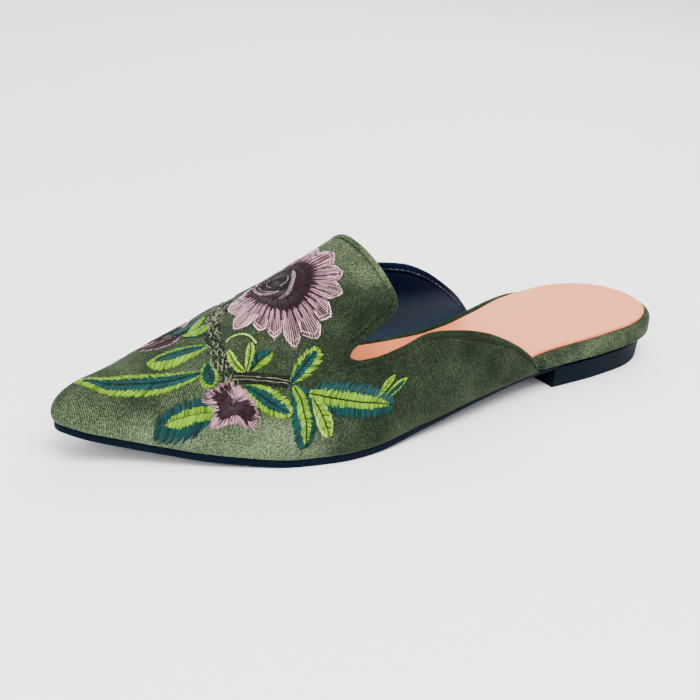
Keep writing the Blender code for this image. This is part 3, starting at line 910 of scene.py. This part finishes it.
def addFlats():
    whole = flatStations(last["length"] - flats["tipSetback"])
    soleLevels = roundedLevels(soleEdgeAt, soleUnder, soleTop, flats["soleRound"])
    addFlat("soleBody", whole, soleLevels, navyRubber, ("outsole",))
    addFlat("heelBlock", flatStations(flats["heelBreast"]), heelLevels(), navyRubber, ("heel",),
            pointed=False, smoothAngle=35.0)
    boardLevels = roundedLevels(randEdge, featherZ, boardTop, flats["randRound"], 6)
    addFlat("boardCover", whole, boardLevels, oliveVelvet, ("insole_board",))
    insoleLevels = roundedLevels(insoleEdge, lambda x: boardTop(x) + last["gap"] * 0.2, footbedZ, flats["insoleRound"])
    addFlat("insoleSheet", whole, insoleLevels, blushLeather, ("insole",), dish=flats["insoleDish"])


# Padded velvet edge that rises beside the insole along the inner waist
binding = {
    # station, height over the insole
    "rise": [(44, -1.0), (54, 0.3), (72, 0.8), (96, 0.9), (120, 0.5), (145, 0.1), (166, -0.4)],
    # section from the insole's edge to the lining: share across, share up
    "section": [(0.0, 0.0), (0.0, 0.72), (0.12, 0.90), (0.38, 1.0), (0.66, 1.0), (0.9, 0.90), (1.0, 0.74), (1.0, 0.0)],
    "step": 1.5, "tuck": 0.15, "depth": 0.1, "least": 0.2,
}


def addWaistBinding():
    rise = binding["rise"]
    xs = np.arange(rise[0][0], rise[-1][0] + 0.1, binding["step"])
    outX, outY = outward(xs, -1)
    inner, outer = insoleEdge(xs, -1) - binding["tuck"], -last["gap"] - binding["tuck"]
    base, top = boardTop(xs) - binding["depth"], footbedZ(xs) + tableAt(rise, 1, xs)
    points = []
    for across, up in binding["section"]:
        offset = inner + (outer - inner) * across
        height = base + np.maximum(top - base, binding["least"]) * up
        points.append(np.stack([xs + offset * outX, outlineY(xs, -1) + offset * outY, height], -1))
    points = np.stack(points, 1)
    count, ring = points.shape[:2]
    faces = ringFaces(count, ring) + [list(range(ring))[::-1], list(range((count - 1) * ring, count * ring))]
    addPiece("waistBinding", points.reshape(-1, 3), faces, oliveVelvet, (), 60.0)


addFlats()
addWaistBinding()
print("sole, heel, board and insole")

# Embroidery: every stitch is a short padded thread laid over the velvet, placed on the chart as
# (station, distance down the side), lateral +
threads = {
    "spacing": 0.43, "width": 0.50, "height": 0.22, "sink": 0.12, "segments": 4, "steep": 0.35, "thinEnds": 0.45,
    "section": [(-0.5, -0.10), (-0.30, 0.6), (0.0, 1.0), (0.30, 0.6), (0.5, -0.10)], "seed": 11,
    "shader": {"Roughness": 0.42, "Specular IOR Level": 0.14},
    # gains on each stitch's colour, drawn at random: partly its own tone, partly painted highlight and painted shade
    "shades": [(0.0, 0.38), (0.45, 0.9), (1.0, 1.6)], "twist": (2400.0, 0.00006),
}
threadColours = {
    "limeThread": (0.108, 0.225, 0.0040), "paleThread": (0.240, 0.390, 0.045), "tealThread": (0.0002, 0.0265, 0.0250),
    "mauveThread": (0.250, 0.128, 0.156), "roseThread": (0.590, 0.375, 0.395), "duskThread": (0.070, 0.030, 0.042),
    "burgundyThread": (0.0100, 0.0010, 0.0046), "greyThread": (0.150, 0.095, 0.110),
    "barkThread": (0.0028, 0.0036, 0.0020), "strawThread": (0.110, 0.120, 0.070),
}
lime, pale, teal, mauve, rose, dusk, burgundy, grey, bark, straw = threadColours
draw = np.random.default_rng(threads["seed"])
sewn = {name: [] for name in threadColours}


def sew(colour, starts, ends, lift, width=1.0):
    # keep stitches from start to end, each with its lift over the velvet and its width
    starts, ends = np.atleast_2d(np.asarray(starts, float)), np.atleast_2d(np.asarray(ends, float))
    lift, width = (np.broadcast_to(np.asarray(value, float), (len(starts),)) for value in (lift, width))
    sewn[colour].append(np.column_stack([starts, ends, lift, width * threads["width"]]))


def threadPoints(rows, onFace, segments):
    # each stitch is a low arch that dives into the velvet at both ends
    even = np.linspace(-1, 1, segments + 1)
    t = 0.5 + 0.5 * np.sign(even) * np.abs(even) ** threads["steep"]
    chart = rows[:, None, 0:2] * (1 - t)[None, :, None] + rows[:, None, 2:4] * t[None, :, None]
    arch = np.sqrt(np.clip(1 - np.abs(even) ** 3, 0, 1))
    lift = -threads["sink"] + arch[None] * (rows[:, 4] + threads["sink"])[:, None]
    centre, normal = onFace(chart[..., 0], chart[..., 1], lift)
    across = unit(np.cross(normal, unit(np.gradient(centre, axis=1))))
    thin = (threads["thinEnds"] + (1 - threads["thinEnds"]) * arch)[None, :, None] * rows[:, 5][:, None, None]
    return np.stack([centre + across * thin * a + normal * threads["height"] * b for a, b in threads["section"]], 2)


def threadMesh(rows, onFace, segments):
    points = threadPoints(rows, onFace, segments)
    count, along, ring = points.shape[:3]
    first = np.arange(count)[:, None, None] * along * ring + np.arange(along - 1)[None, :, None] * ring
    near = np.arange(ring)[None, None, :]
    far = (near + 1) % ring
    faces = np.stack([(first + step).ravel() for step in (near + ring, far + ring, far, near)], 1).tolist()
    for end in (0, along - 1):
        base = (np.arange(count) * along + end) * ring
        cap = np.stack([base + k for k in range(ring)], 1)
        faces += (cap if end == 0 else cap[:, ::-1]).tolist()
    return points.reshape(-1, 3), faces, np.repeat(draw.random(count), along * ring)


def makeThread(name, colour):
    # satin thread: each stitch has its own shade, drawn at random and spread wide, partly its own tone and partly
    # painted highlight and painted shade; and a fine twist
    material, tree, shader = newMaterial(name, colour, threads["shader"])
    own = addNode(tree, "Attribute", {}, attribute_name="stitchShade")
    shades = [(place, [min(c * gain, 1) for c in colour]) for place, gain in threads["shades"]]
    tree.links.new(rampNode(tree, own.outputs["Fac"], shades), shader.inputs["Base Color"])
    scale, depth = threads["twist"]
    bumpNode(tree, shader, [(noiseNode(tree, objectCoordinate(tree), scale, 1.0), depth)])
    return material


def addStitches(name, rows, onFace, material, segments):
    points, faces, shade = threadMesh(rows, onFace, segments)
    piece = addPiece(name, points, faces, material)
    piece.data.attributes.new("stitchShade", "FLOAT", "POINT").data.foreach_set("value", shade.astype(np.float32))


def spineOf(points, count):
    # a smooth line through chart points, with its directions along and across, and its length
    points = np.array(points, float)
    run = runAlong(points)
    rows = [(r, *p) for r, p in zip(run, points)]
    s = np.linspace(0, run[-1], count)
    line = np.stack([tableAt(rows, 1, s), tableAt(rows, 2, s)], 1)
    way = unit(np.gradient(line, axis=0))
    return line, way, np.stack([-way[:, 1], way[:, 0]], 1), run[-1]


def cord(colour, spine, lift, width=1.0, step=2.2, wander=0.05, overlap=0.15):
    # a line of short stitches end to end
    count = max(int(spineOf(spine, 2)[3] / step), 1)
    line = spineOf(spine, count + 1)[0]
    held = line + draw.normal(0, wander, line.shape)
    sew(colour, held[:-1], held[1:] + np.diff(line, axis=0) * overlap, lift, width)


leafStitch = {
    "fringeLift": 0.14, "coreLift": 0.28, "veinLift": 0.44, "veinWidth": 0.9, "toothPitch": 3.2, "ragged": 0.05,
    # where the outline's ends and the core's end are taken, how much of the width the core takes, and from where
    "ends": (0.015, 0.985), "tipRoom": 0.02, "tipFade": 0.25, "coreLimits": (0.03, 0.97), "leastCore": 0.35,
    # gap along the midrib, how far the fringe starts inside the core, how much stitches slant near the tip
    "fold": 0.08, "overlap": 0.3, "innermost": 0.02, "tipSlant": (0.9, 0.2),
    # random spread of the core's reach, the fringe's reach, the places and the lifts
    "coreSpread": 0.12, "fringeSpread": 0.018, "wander": 0.06, "liftSpread": 0.02,
}


def leaf(spine, wide, core, fringe=None, share=0.4, sides=1.0, slant=0.8, blunt=0.75, belly=0.8, tip=1.0, teeth=0.0,
         vein=None):
    # satin leaf: slanted stitches from the midrib, a core and a ragged fringe of another colour; share of the core
    # and sides take pairs, first for the side towards larger distances on a leaf that points to the toe
    look = leafStitch
    length = spineOf(spine, 2)[3]
    count = max(int(length / threads["spacing"]), 6)
    line, way, across, _ = spineOf(spine, count)
    s = np.linspace(0, 1, count)
    half = wide / 2 * np.sin(math.pi * np.clip(s, *look["ends"]) ** belly) ** blunt
    coreLeft = np.sqrt(np.clip((tip + look["tipRoom"] - s) / look["tipFade"], 0, 1))
    saw = 1 + teeth * ((s * length / look["toothPitch"]) % 1 - 0.5)
    saw *= np.where(np.arange(count) % 2, 1.0, 1 - look["ragged"])
    for side, part, coreShare in zip((1, -1), np.broadcast_to(sides, 2), np.broadcast_to(share, 2)):
        reach = half * part
        inner = coreShare * coreLeft * (1 + draw.normal(0, look["coreSpread"], count))
        inner = np.clip(inner, *look["coreLimits"])
        outer = saw * (1 + draw.normal(0, look["fringeSpread"], count))
        noise = draw.normal(0, look["wander"], (count, 2))
        fringeLift, coreLift = draw.normal(0, look["liftSpread"], (2, count))
        fold = line + across * side * look["fold"] + noise

        def spot(fraction):
            away = (fraction * reach)[:, None]
            pull = np.minimum(slant * away, (length * (1 - s) * look["tipSlant"][0])[:, None] + look["tipSlant"][1])
            return line + across * side * away + way * pull + noise

        if fringe:
            hidden = np.maximum(inner - look["overlap"], look["innermost"])
            sew(fringe, spot(hidden), spot(outer), look["fringeLift"] + fringeLift)
            keep = inner * reach > look["leastCore"]
            sew(core, fold[keep], spot(inner)[keep], (look["coreLift"] + coreLift)[keep])
        else:
            sew(core, fold, spot(outer), look["coreLift"] + fringeLift)
    if vein:
        cord(vein, spine, look["veinLift"], look["veinWidth"])


def around(centre, degrees, reach):
    turn = np.radians(degrees)
    return np.array(centre, float) + np.asarray(reach)[..., None] * np.stack([np.cos(turn), np.sin(turn)], -1)


petalStitch = {
    "petalLifts": (0.16, 0.20), "packing": 0.72, "splay": 0.03,
    # random spread of the lifts, the places where rings of stitches meet, the edge and the angle of the heart's
    "liftSpread": 0.04, "borderSpread": 0.25, "middleSpread": 0.6, "joinSpread": 0.5, "edgeSpread": 0.014,
    "heartLiftSpread": 0.03, "swing": 0.5,
    # how far the rings run under or over each other, and how far from the edge the heart's stitches stop
    "outerLap": 0.9, "middleLap": 0.8, "borderLap": 1.2, "joinLap": 0.6, "needleLap": 1.0, "edgeRoom": 0.4,
    # the heart ends in long and short needles: shares of the spike in turn, how many run on, their width
    "heartLift": 0.32, "comb": (0.62, 0.28, 0.05, 0.22), "needleLift": 0.36, "needles": 0.7, "needleWidth": 0.78,
    # least length and random part of each, as shares
    "combReach": (0.7, 0.6), "needleReach": (0.75, 0.3), "centreLift": 0.33, "centreWidth": 1.15,
    # flecks over the petals, the dark ones painted shade and the pale ones painted highlights: lift and width of the
    # dark ones and of the pale ones, then where they start and end
    "dusk": (0.25, 0.62), "light": (0.29, 0.48), "fleckStart": 2.0, "fleckEnd": (0.6, 1.6),
    # the pale rim: share of the petal's reach, lift, width; then the line between two petals
    "rims": [(0.985, 0.34, 0.85), (0.93, 0.31, 0.5)], "rimStep": 1.7, "rimPoints": 11,
    "fold": (0.32, 0.6, 1.8), "foldTurns": (0.8, 1.2, 1.8), "foldReach": (0.98, 0.91, 0.84),
}


def blossom(centre, outline, heart, inner, petals, hearts, rim=None, gap=0.42, spike=3.0, highlightShare=0.0,
            paintedShadeShare=0.0, bend=0.72, over=0.0):
    # outline runs round the centre through valleys and tips in turn as (angle, reach), heart likewise;
    # radial stitches, the heart's ones ending in needles over the petals
    look = petalStitch
    at, far = np.array(outline, float).T
    turns = np.arange(at[0], at[-1], math.degrees(gap / (look["packing"] * far.mean())))
    i = np.minimum(np.searchsorted(at, turns, side="right") - 1, len(at) - 2)
    t = (turns - at[i]) / (at[i + 1] - at[i])
    rising = i % 2 == 0
    low, high = np.where(rising, far[i], far[i + 1]), np.where(rising, far[i + 1], far[i])
    edge = low + (high - low) * np.where(rising, t, 1 - t) ** bend
    outwards = turns + (np.where(rising, at[i + 1], at[i]) - turns) * look["splay"]
    count = len(turns)
    core = np.interp(turns, *np.array(heart, float).T)

    def spokes(colour, start, end, lift, width=1.0, keep=slice(None), swing=turns):
        sew(colour, around(centre, turns, start)[keep], around(centre, swing, end)[keep], lift, width)

    border = core + draw.normal(0, look["borderSpread"], count)
    middle = (core + edge) / 2 + draw.normal(0, look["middleSpread"], count)
    ragged = edge * (1 + draw.normal(0, look["edgeSpread"], count))
    lifts = [over + lift + draw.normal(0, look["liftSpread"], count) for lift in look["petalLifts"]]
    spokes(petals, middle - look["outerLap"], ragged, lifts[0], swing=outwards)
    spokes(petals, border - look["borderLap"], middle + look["middleLap"], lifts[1])

    def drawnShare(least, part):
        return least + part * draw.random(count)

    join = (inner + core) / 2 + draw.normal(0, look["joinSpread"], count)
    comb = np.choose(np.arange(count) % 4, look["comb"]) * drawnShare(*look["combReach"])
    swing = turns + draw.normal(0, look["swing"], count)
    lift = over + look["heartLift"] + draw.normal(0, look["heartLiftSpread"], count)
    farthest = edge - look["edgeRoom"]
    spokes(hearts, join - look["joinLap"], np.minimum(core + spike * comb, farthest), lift, swing=swing)
    needles = (np.arange(count) % 4 == 0) & (draw.random(count) < look["needles"])
    tips = np.minimum(core + spike * drawnShare(*look["needleReach"]), farthest)
    spokes(hearts, core - look["needleLap"], tips, over + look["needleLift"], look["needleWidth"], needles)
    keep = np.arange(count) % 3 != 0
    lift = over + look["centreLift"]
    spokes(hearts, np.full(count, inner), join + look["joinLap"], lift, look["centreWidth"], keep)
    # dark flecks paint shade between the stitches, pale flecks paint highlights on them
    for colour, part, (lift, width) in ((dusk, paintedShadeShare, look["dusk"]), (rose, highlightShare, look["light"])):
        keep = draw.random(count) < part
        if keep.any():
            start = middle - look["fleckStart"] * draw.random(count)
            end = edge - look["fleckEnd"][0] - look["fleckEnd"][1] * draw.random(count)
            spokes(colour, start, end, lift, width, keep, outwards)
    for k in range(0, len(at) - 2, 2) if rim else ():
        own = (turns >= at[k]) & (turns <= at[k + 2])
        for depth, lift, width in look["rims"]:
            ring = around(centre, outwards[own], edge[own] * depth)
            cord(rim, ring[:: max(len(ring) // look["rimPoints"], 1)], lift, width, look["rimStep"])
        fold = around(centre, at[k] + np.array(look["foldTurns"]), far[k] * np.array(look["foldReach"]))
        cord(rim, fold, *look["fold"])


def crescent(colour, centre, outerArc, innerArc, lift, step=3.2, slant=3.0, width=1.1):
    # short stitches across the band between two arcs, each a list of (angle, reach)
    turns = np.arange(outerArc[0][0], outerArc[-1][0], step)
    outer, inner = (np.interp(turns, *np.array(arc, float).T) for arc in (outerArc, innerArc))
    sew(colour, around(centre, turns, inner), around(centre, turns + slant, outer), lift, width)


twigStitch = {
    "step": 1.5, "tilt": 0.45, "wander": 0.16, "width": 0.95,
    # lift of each thread, and its place in the draw between 0 and 1
    "threads": {bark: (0.2, 0.0, 0.58), straw: (0.3, 0.58, 1.0)},
}


def twig(path, wide, rows):
    # a bundle of short leaning stitches in two colours
    step = twigStitch["step"]
    count = max(int(spineOf(path, 2)[3] / step), 3)
    line, way, across, _ = spineOf(path, count)
    for row in range(rows):
        offset = (row - (rows - 1) / 2) * wide / rows
        lean = across * twigStitch["tilt"] * draw.choice([-1.0, 1.0], count)[:, None]
        base = line + across * offset + way * step * (0.5 if row % 2 else 0.0)
        base = base + draw.normal(0, twigStitch["wander"], line.shape)
        pick = draw.random(count)
        for colour, (lift, low, high) in twigStitch["threads"].items():
            keep = (pick >= low) & (pick < high)
            if keep.any():
                half = way * step * 0.5 + lean
                sew(colour, (base - half)[keep], (base + half)[keep], lift, twigStitch["width"])


def sewTwigs():
    main = [
        (194.0, -11.4), (200.0, -5.0), (204.8, 0.9), (209.2, 9.1), (211.0, 15.1), (211.4, 19.6), (210.8, 23.7),
        (210.6, 27.6),
    ]
    twig(main, 5.6, 9)
    branch = np.array([(209.6, 25.4), (206.8, 27.2), (199.6, 32.5), (193.3, 37.3)])
    pitch, across = 0.52, np.array([0.60, 0.80])
    for row in range(7):
        line = branch + (row - 3) * pitch * across
        colour, width = (straw, 0.75) if row in (2, 4) else (bark, 1.05)
        cord(colour, line, 0.20 + 0.03 * (row % 3), width, 2.0, 0.10)
    twig([(184.0, -8.4), (192.4, -5.0), (200.6, -4.6), (206.0, 0.0)], 3.4, 6)
    stem = [(194.8, -9.5), (190.8, -19.0), (186.9, -27.4), (184.9, -36.0), (184.6, -48.4)]
    for offset, colour in ((-0.6, straw), (0.1, bark), (0.8, straw)):
        cord(colour, [(x + offset, g + offset * 0.4) for x, g in stem], 0.2, 0.9, 1.8)
    cord(straw, [(240.4, -6.4), (235.0, -7.0), (229.8, -8.2)], 0.2, 1.0, 1.8)


def sewLeaves():
    # toe side
    leaf([(218.2, 18.4), (229.5, 14.6), (240.6, 9.2), (249.5, 4.4), (255.6, -2.0)], 7.9, teal, lime,
         (0.58, 0.60), (1.0, 0.9), 1.0, 0.55, 0.85, 0.98, 0.15)
    leaf([(211.8, 9.7), (218.5, 7.3), (225.7, 5.5), (232.6, 4.6)], 8.8, teal, lime,
         (0.38, 0.56), (1.25, 0.60), 0.7, 0.62, 0.95, 0.9, 0.15)
    leaf([(215.0, 15.6), (216.4, 19.6), (217.0, 24.2)], 7.2, teal, lime,
         0.6, 1.0, 0.4, 0.62, 1.0, 0.95)
    leaf([(218.0, 32.4), (223.0, 30.0), (228.6, 28.0), (236.2, 26.2)], 11.6, lime, teal,
         (0.40, 0.44), (1.24, 0.88), 0.3, 0.32, 0.74, 0.82, 0.34)
    leaf([(216.4, -1.2), (211.0, 0.8), (205.8, -0.8)], 6.8, lime, teal, 0.6, (0.9, 1.0), 0.7, 0.7, 1.0)
    leaf([(216.0, -2.0), (222.0, -2.2), (230.5, -4.4)], 5.6, burgundy, grey, 0.66, slant=0.5)
    # sprouts over the branch
    leaf([(205.6, 26.2), (207.2, 21.0), (207.0, 15.8)], 3.1, lime, pale, 0.6, slant=0.9, blunt=0.5, vein=bark)
    leaf([(204.6, 26.4), (201.8, 22.6), (198.9, 17.8)], 3.2, lime, pale, 0.6, slant=0.9, blunt=0.5, vein=bark)
    leaf([(203.4, 27.0), (199.2, 25.4), (194.4, 25.2)], 6.8, teal, sides=(1.0, 0.05), slant=0.5)
    leaf([(203.2, 27.2), (199.2, 25.9), (194.2, 25.2)], 5.0, lime, sides=(0.05, 1.0), slant=0.7)
    curl = [(205.8, 12.4), (203.8, 11.4), (201.0, 11.8), (199.0, 13.1), (197.8, 15.7), (197.4, 19.1)]
    for lift, colour in ((0.20, bark), (0.26, pale)):
        cord(colour, curl, lift, 1.6, 1.4)
    leaf([(192.4, 38.2), (187.0, 35.6), (179.6, 33.0)], 7.2, teal, lime,
         (0.56, 0.48), (0.9, 1.2), 0.7, 0.5, 0.85, 0.95, 0.35)
    leaf([(207.0, 30.3), (203.4, 35.4), (199.6, 41.2), (194.9, 47.6)], 7.0, teal, lime,
         0.55, (1.05, 0.95), 0.8, 0.55, 0.85, 1.0, 0.15)
    # heel side
    leaf([(187.4, 44.6), (178.2, 51.6), (171.5, 56.3), (163.5, 61.5), (157.2, 66.2)], 10.8, lime, teal,
         (0.46, 0.44), (1.02, 0.98), 0.4, 0.34, 0.8, 0.95, 0.26, bark)
    leaf([(162.6, 59.4), (158.6, 58.0), (154.6, 57.0)], 3.0, lime, slant=1.0)
    leaf([(161.0, 61.8), (155.4, 61.4), (149.4, 61.0)], 3.4, teal, lime, 0.55, slant=0.9)
    leaf([(191.9, 39.6), (190.7, 46.0), (190.6, 52.6), (191.8, 60.4)], 9.0, lime, teal,
         0.48, 1.0, 0.6, 0.44, 0.82, 0.97, 0.15, bark)
    leaf([(186.6, 46.6), (184.8, 53.0), (183.2, 61.8)], 5.6, lime, pale, 0.75, slant=0.9, blunt=0.55, vein=bark)
    # medial side
    leaf([(229.6, -10.4), (234.4, -15.8), (238.0, -20.0), (241.0, -22.8)], 9.2, lime, teal,
         0.3, 1.0, 0.7, 0.42, 0.72, 0.85, 0.25)
    leaf([(222.3, -17.8), (223.2, -24.0), (224.0, -29.0), (224.3, -33.6)], 8.2, lime, teal,
         0.28, 1.0, 0.7, 0.42, 0.8, 0.85, 0.25)
    leaf([(214.6, -22.4), (208.0, -32.4), (200.6, -41.0), (192.6, -49.2)], 9.2, lime, teal,
         0.45, 1.0, 0.8, 0.5, 0.75, 0.95, 0.2, bark)
    leaf([(194.4, -15.6), (198.0, -19.4), (201.0, -22.8), (203.6, -26.2)], 8.0, lime, teal,
         0.34, 1.0, 0.5, 0.45, 0.9, 0.85)
    leaf([(185.0, -29.0), (175.4, -40.6), (164.2, -52.0), (150.5, -58.6), (128.4, -61.4)], 11.6, lime, teal,
         0.36, (0.8, 1.0), 1.0, 0.55, 0.78, 0.95, 0.25, bark)
    leaf([(184.6, -18.6), (178.0, -20.8), (170.2, -20.4)], 9.0, teal, slant=0.2, blunt=0.5, belly=0.9)
    leaf([(182.0, -16.0), (178.0, -13.6), (173.6, -14.0)], 6.5, teal, slant=0.2, blunt=0.5)
    leaf([(183.4, -22.4), (178.0, -26.2), (172.6, -28.6)], 6.5, teal, slant=0.2, blunt=0.5)
    cord(bark, [(184.0, -19.6), (178.0, -20.6), (172.0, -20.2)], 0.42, 0.9)


def sewFlowers():
    # large open flower over the instep, its petals longest on the lateral side
    centre = (175.6, -3.5)
    outline = [
        (-20, 13.0), (3, 21.6), (17, 22.0), (26, 28.6), (36, 23.1), (45, 26.6), (50, 25.0), (57, 29.6), (63, 26.2),
        (71, 34.4), (76, 29.2), (86, 34.0), (92, 28.0), (100, 29.8), (108, 23.2), (118, 27.4), (126, 22.8), (134, 24.6),
        (145, 20.0), (161, 21.2), (176, 17.0), (190, 19.6), (203, 15.2), (218, 16.2), (232, 11.2), (246, 12.2),
        (268, 8.8), (292, 9.4), (312, 8.2), (328, 12.0), (340, 13.0),
    ]
    heart = [
        (-20, 10.5), (-14, 10.9), (15, 11.8), (37, 13.7), (54, 16.1), (67, 18.1), (82, 17.9), (99, 16.6), (120, 14.6),
        (143, 13.3), (171, 12.0), (200, 11.0), (235, 8.4), (290, 6.4), (325, 8.5), (340, 10.5),
    ]
    blossom(centre, outline, heart, 6.4, mauve, burgundy, rose, spike=6.6, highlightShare=0.36, paintedShadeShare=0.42)
    blossom(centre, [(angle, 7.2) for angle in range(0, 361, 30)], [(0, 4.0), (360, 4.0)], 0.4, bark, bark, spike=1.0)
    crescent(grey, centre, [(-34, 9.0), (12, 9.3), (30, 8.7), (60, 7.2)],
             [(-34, 7.9), (12, 7.9), (30, 7.2), (60, 6.3)], 0.46)
    crescent(grey, centre, [(60, 12.0), (80, 10.7), (95, 8.5), (121, 6.9), (178, 6.9)],
             [(60, 10.6), (76, 9.0), (90, 7.3), (109, 5.6), (153, 4.8), (178, 6.3)], 0.50)
    for angles, reach in (((-30, 52), 6.6), ((70, 170), 3.9), ((-80, 20), 4.0)):
        cord(grey, around(centre, np.linspace(*angles, 12), np.full(12, reach)), 0.42, 0.9, 1.3)
    # small flower of the lateral side: a dark star over pale petals, and a pale lobe over it
    star = [
        (-97, 8.0), (-80, 7.9), (-59, 10.2), (-39, 12.6), (-27, 8.8), (-20, 7.8), (-1, 7.9), (24, 8.9), (44, 6.4),
        (67, 5.7), (92, 6.8), (106, 10.6), (111, 13.4), (120, 12.0), (129, 10.9), (142, 8.8), (161, 6.5), (190, 4.9),
        (225, 4.9), (254, 5.0), (263, 8.0),
    ]
    starHeart = [
        (-97, 7.4), (-79, 7.4), (-55, 8.1), (-45, 8.4), (-38, 6.2), (-19, 4.7), (3, 5.6), (27, 5.4), (46, 4.1),
        (67, 3.4), (98, 3.4), (106, 6.3), (112, 9.1), (118, 10.2), (133, 9.2), (148, 7.1), (165, 4.6), (175, 2.3),
        (245, 2.4), (263, 6.0),
    ]
    blossom((212.0, 33.6), star, starHeart, 0.4, mauve, burgundy, gap=0.34, spike=2.0, highlightShare=0.12,
            paintedShadeShare=0.12, bend=1.0)
    lobe = [(150, 3.4), (178, 5.2), (205, 4.2), (232, 4.9), (258, 4.2), (286, 4.6)]
    blossom((211.6, 32.6), lobe, [(150, 0.5), (286, 0.5)], 0.2, mauve, dusk, gap=0.34, spike=0.6, highlightShare=0.45,
            paintedShadeShare=0.1, over=0.14)
    # small flower of the medial side, with a leafy cup
    bell = [
        (-190, 6.5), (-160, 11.4), (-140, 7.5), (-120, 12.6), (-101, 7.0), (-82, 11.0), (-63, 7.5), (-44, 12.0),
        (-26, 8.0), (-8, 11.5), (15, 7.0),
    ]
    bellHeart = [(-190, 5.0), (-160, 6.6), (-44, 5.6), (-8, 7.6), (15, 5.5)]
    blossom((218.4, -8.6), bell, bellHeart, 1.2, mauve, burgundy, rose, gap=0.38, spike=2.4, paintedShadeShare=0.2)
    leaf([(204.4, -8.6), (210.5, -7.0), (217.5, -5.6)], 6.0, teal)
    leaf([(204.0, -7.4), (208.8, -4.0), (214.0, -1.2)], 2.6, lime)
    cord(burgundy, [(213, -3.0), (221, -4.6), (230, -7.8)], 0.3, 1.6)


def addThreads():
    sewTwigs()
    sewLeaves()
    sewFlowers()
    for name, colour in threadColours.items():
        rows = np.concatenate(sewn[name])
        addStitches(name + "s", rows, onVelvet, makeThread(name, colour), threads["segments"])
        print("   ", name, len(rows), "stitches")


addThreads()
print("embroidery")

# Seams beside the top edge: one row sunk into the velvet, one on the lining
seams = {
    "away": 2.52, "start": 1.0, "stitch": 1.9, "step": 2.6, "width": 1.0, "tailGap": 0.97, "segments": 3,
    "velvetLift": -0.40, "velvetThread": (0.010, 0.015, 0.006),
    "liningLift": -0.22, "liningThread": (0.050, 0.070, 0.110),
}


def seamRows(lift):
    # stitches at equal steps along a line beside the top edge
    wings, tongue, _ = upperGrids(seams["away"])
    line = np.array([point for point in rimPoints(wings, tongue) if abs(point[1]) < seams["tailGap"]])
    run = runAlong(onLast(line[:, 0], line[:, 1], last["wall"])[0])
    reach = line[:, 1] * girth(line[:, 0], line[:, 1])
    starts = np.arange(seams["start"], run[-1] - seams["step"], seams["step"])
    rows = [np.interp(at, run, value) for at in (starts, starts + seams["stitch"]) for value in (line[:, 0], reach)]
    width = seams["width"] * threads["width"]
    return np.column_stack(rows + [np.full(len(starts), lift), np.full(len(starts), width)])


def onLining(x, reach, lift):
    # the lining's open face, seen from inside the shoe
    points, normals = onVelvet(x, reach, -last["wall"] - lift)
    return points, -normals


def addSeams():
    for name, onFace, thread, slot in (
        ("velvet", onVelvet, "oliveThread", "olive_velvet"), ("lining", onLining, "slateThread", "navy_lining"),
    ):
        material = makeThread(thread, seams[name + "Thread"])
        addStitches(name + "Seam", seamRows(seams[name + "Lift"]), onFace, material, seams["segments"])


addSeams()
print("seams")
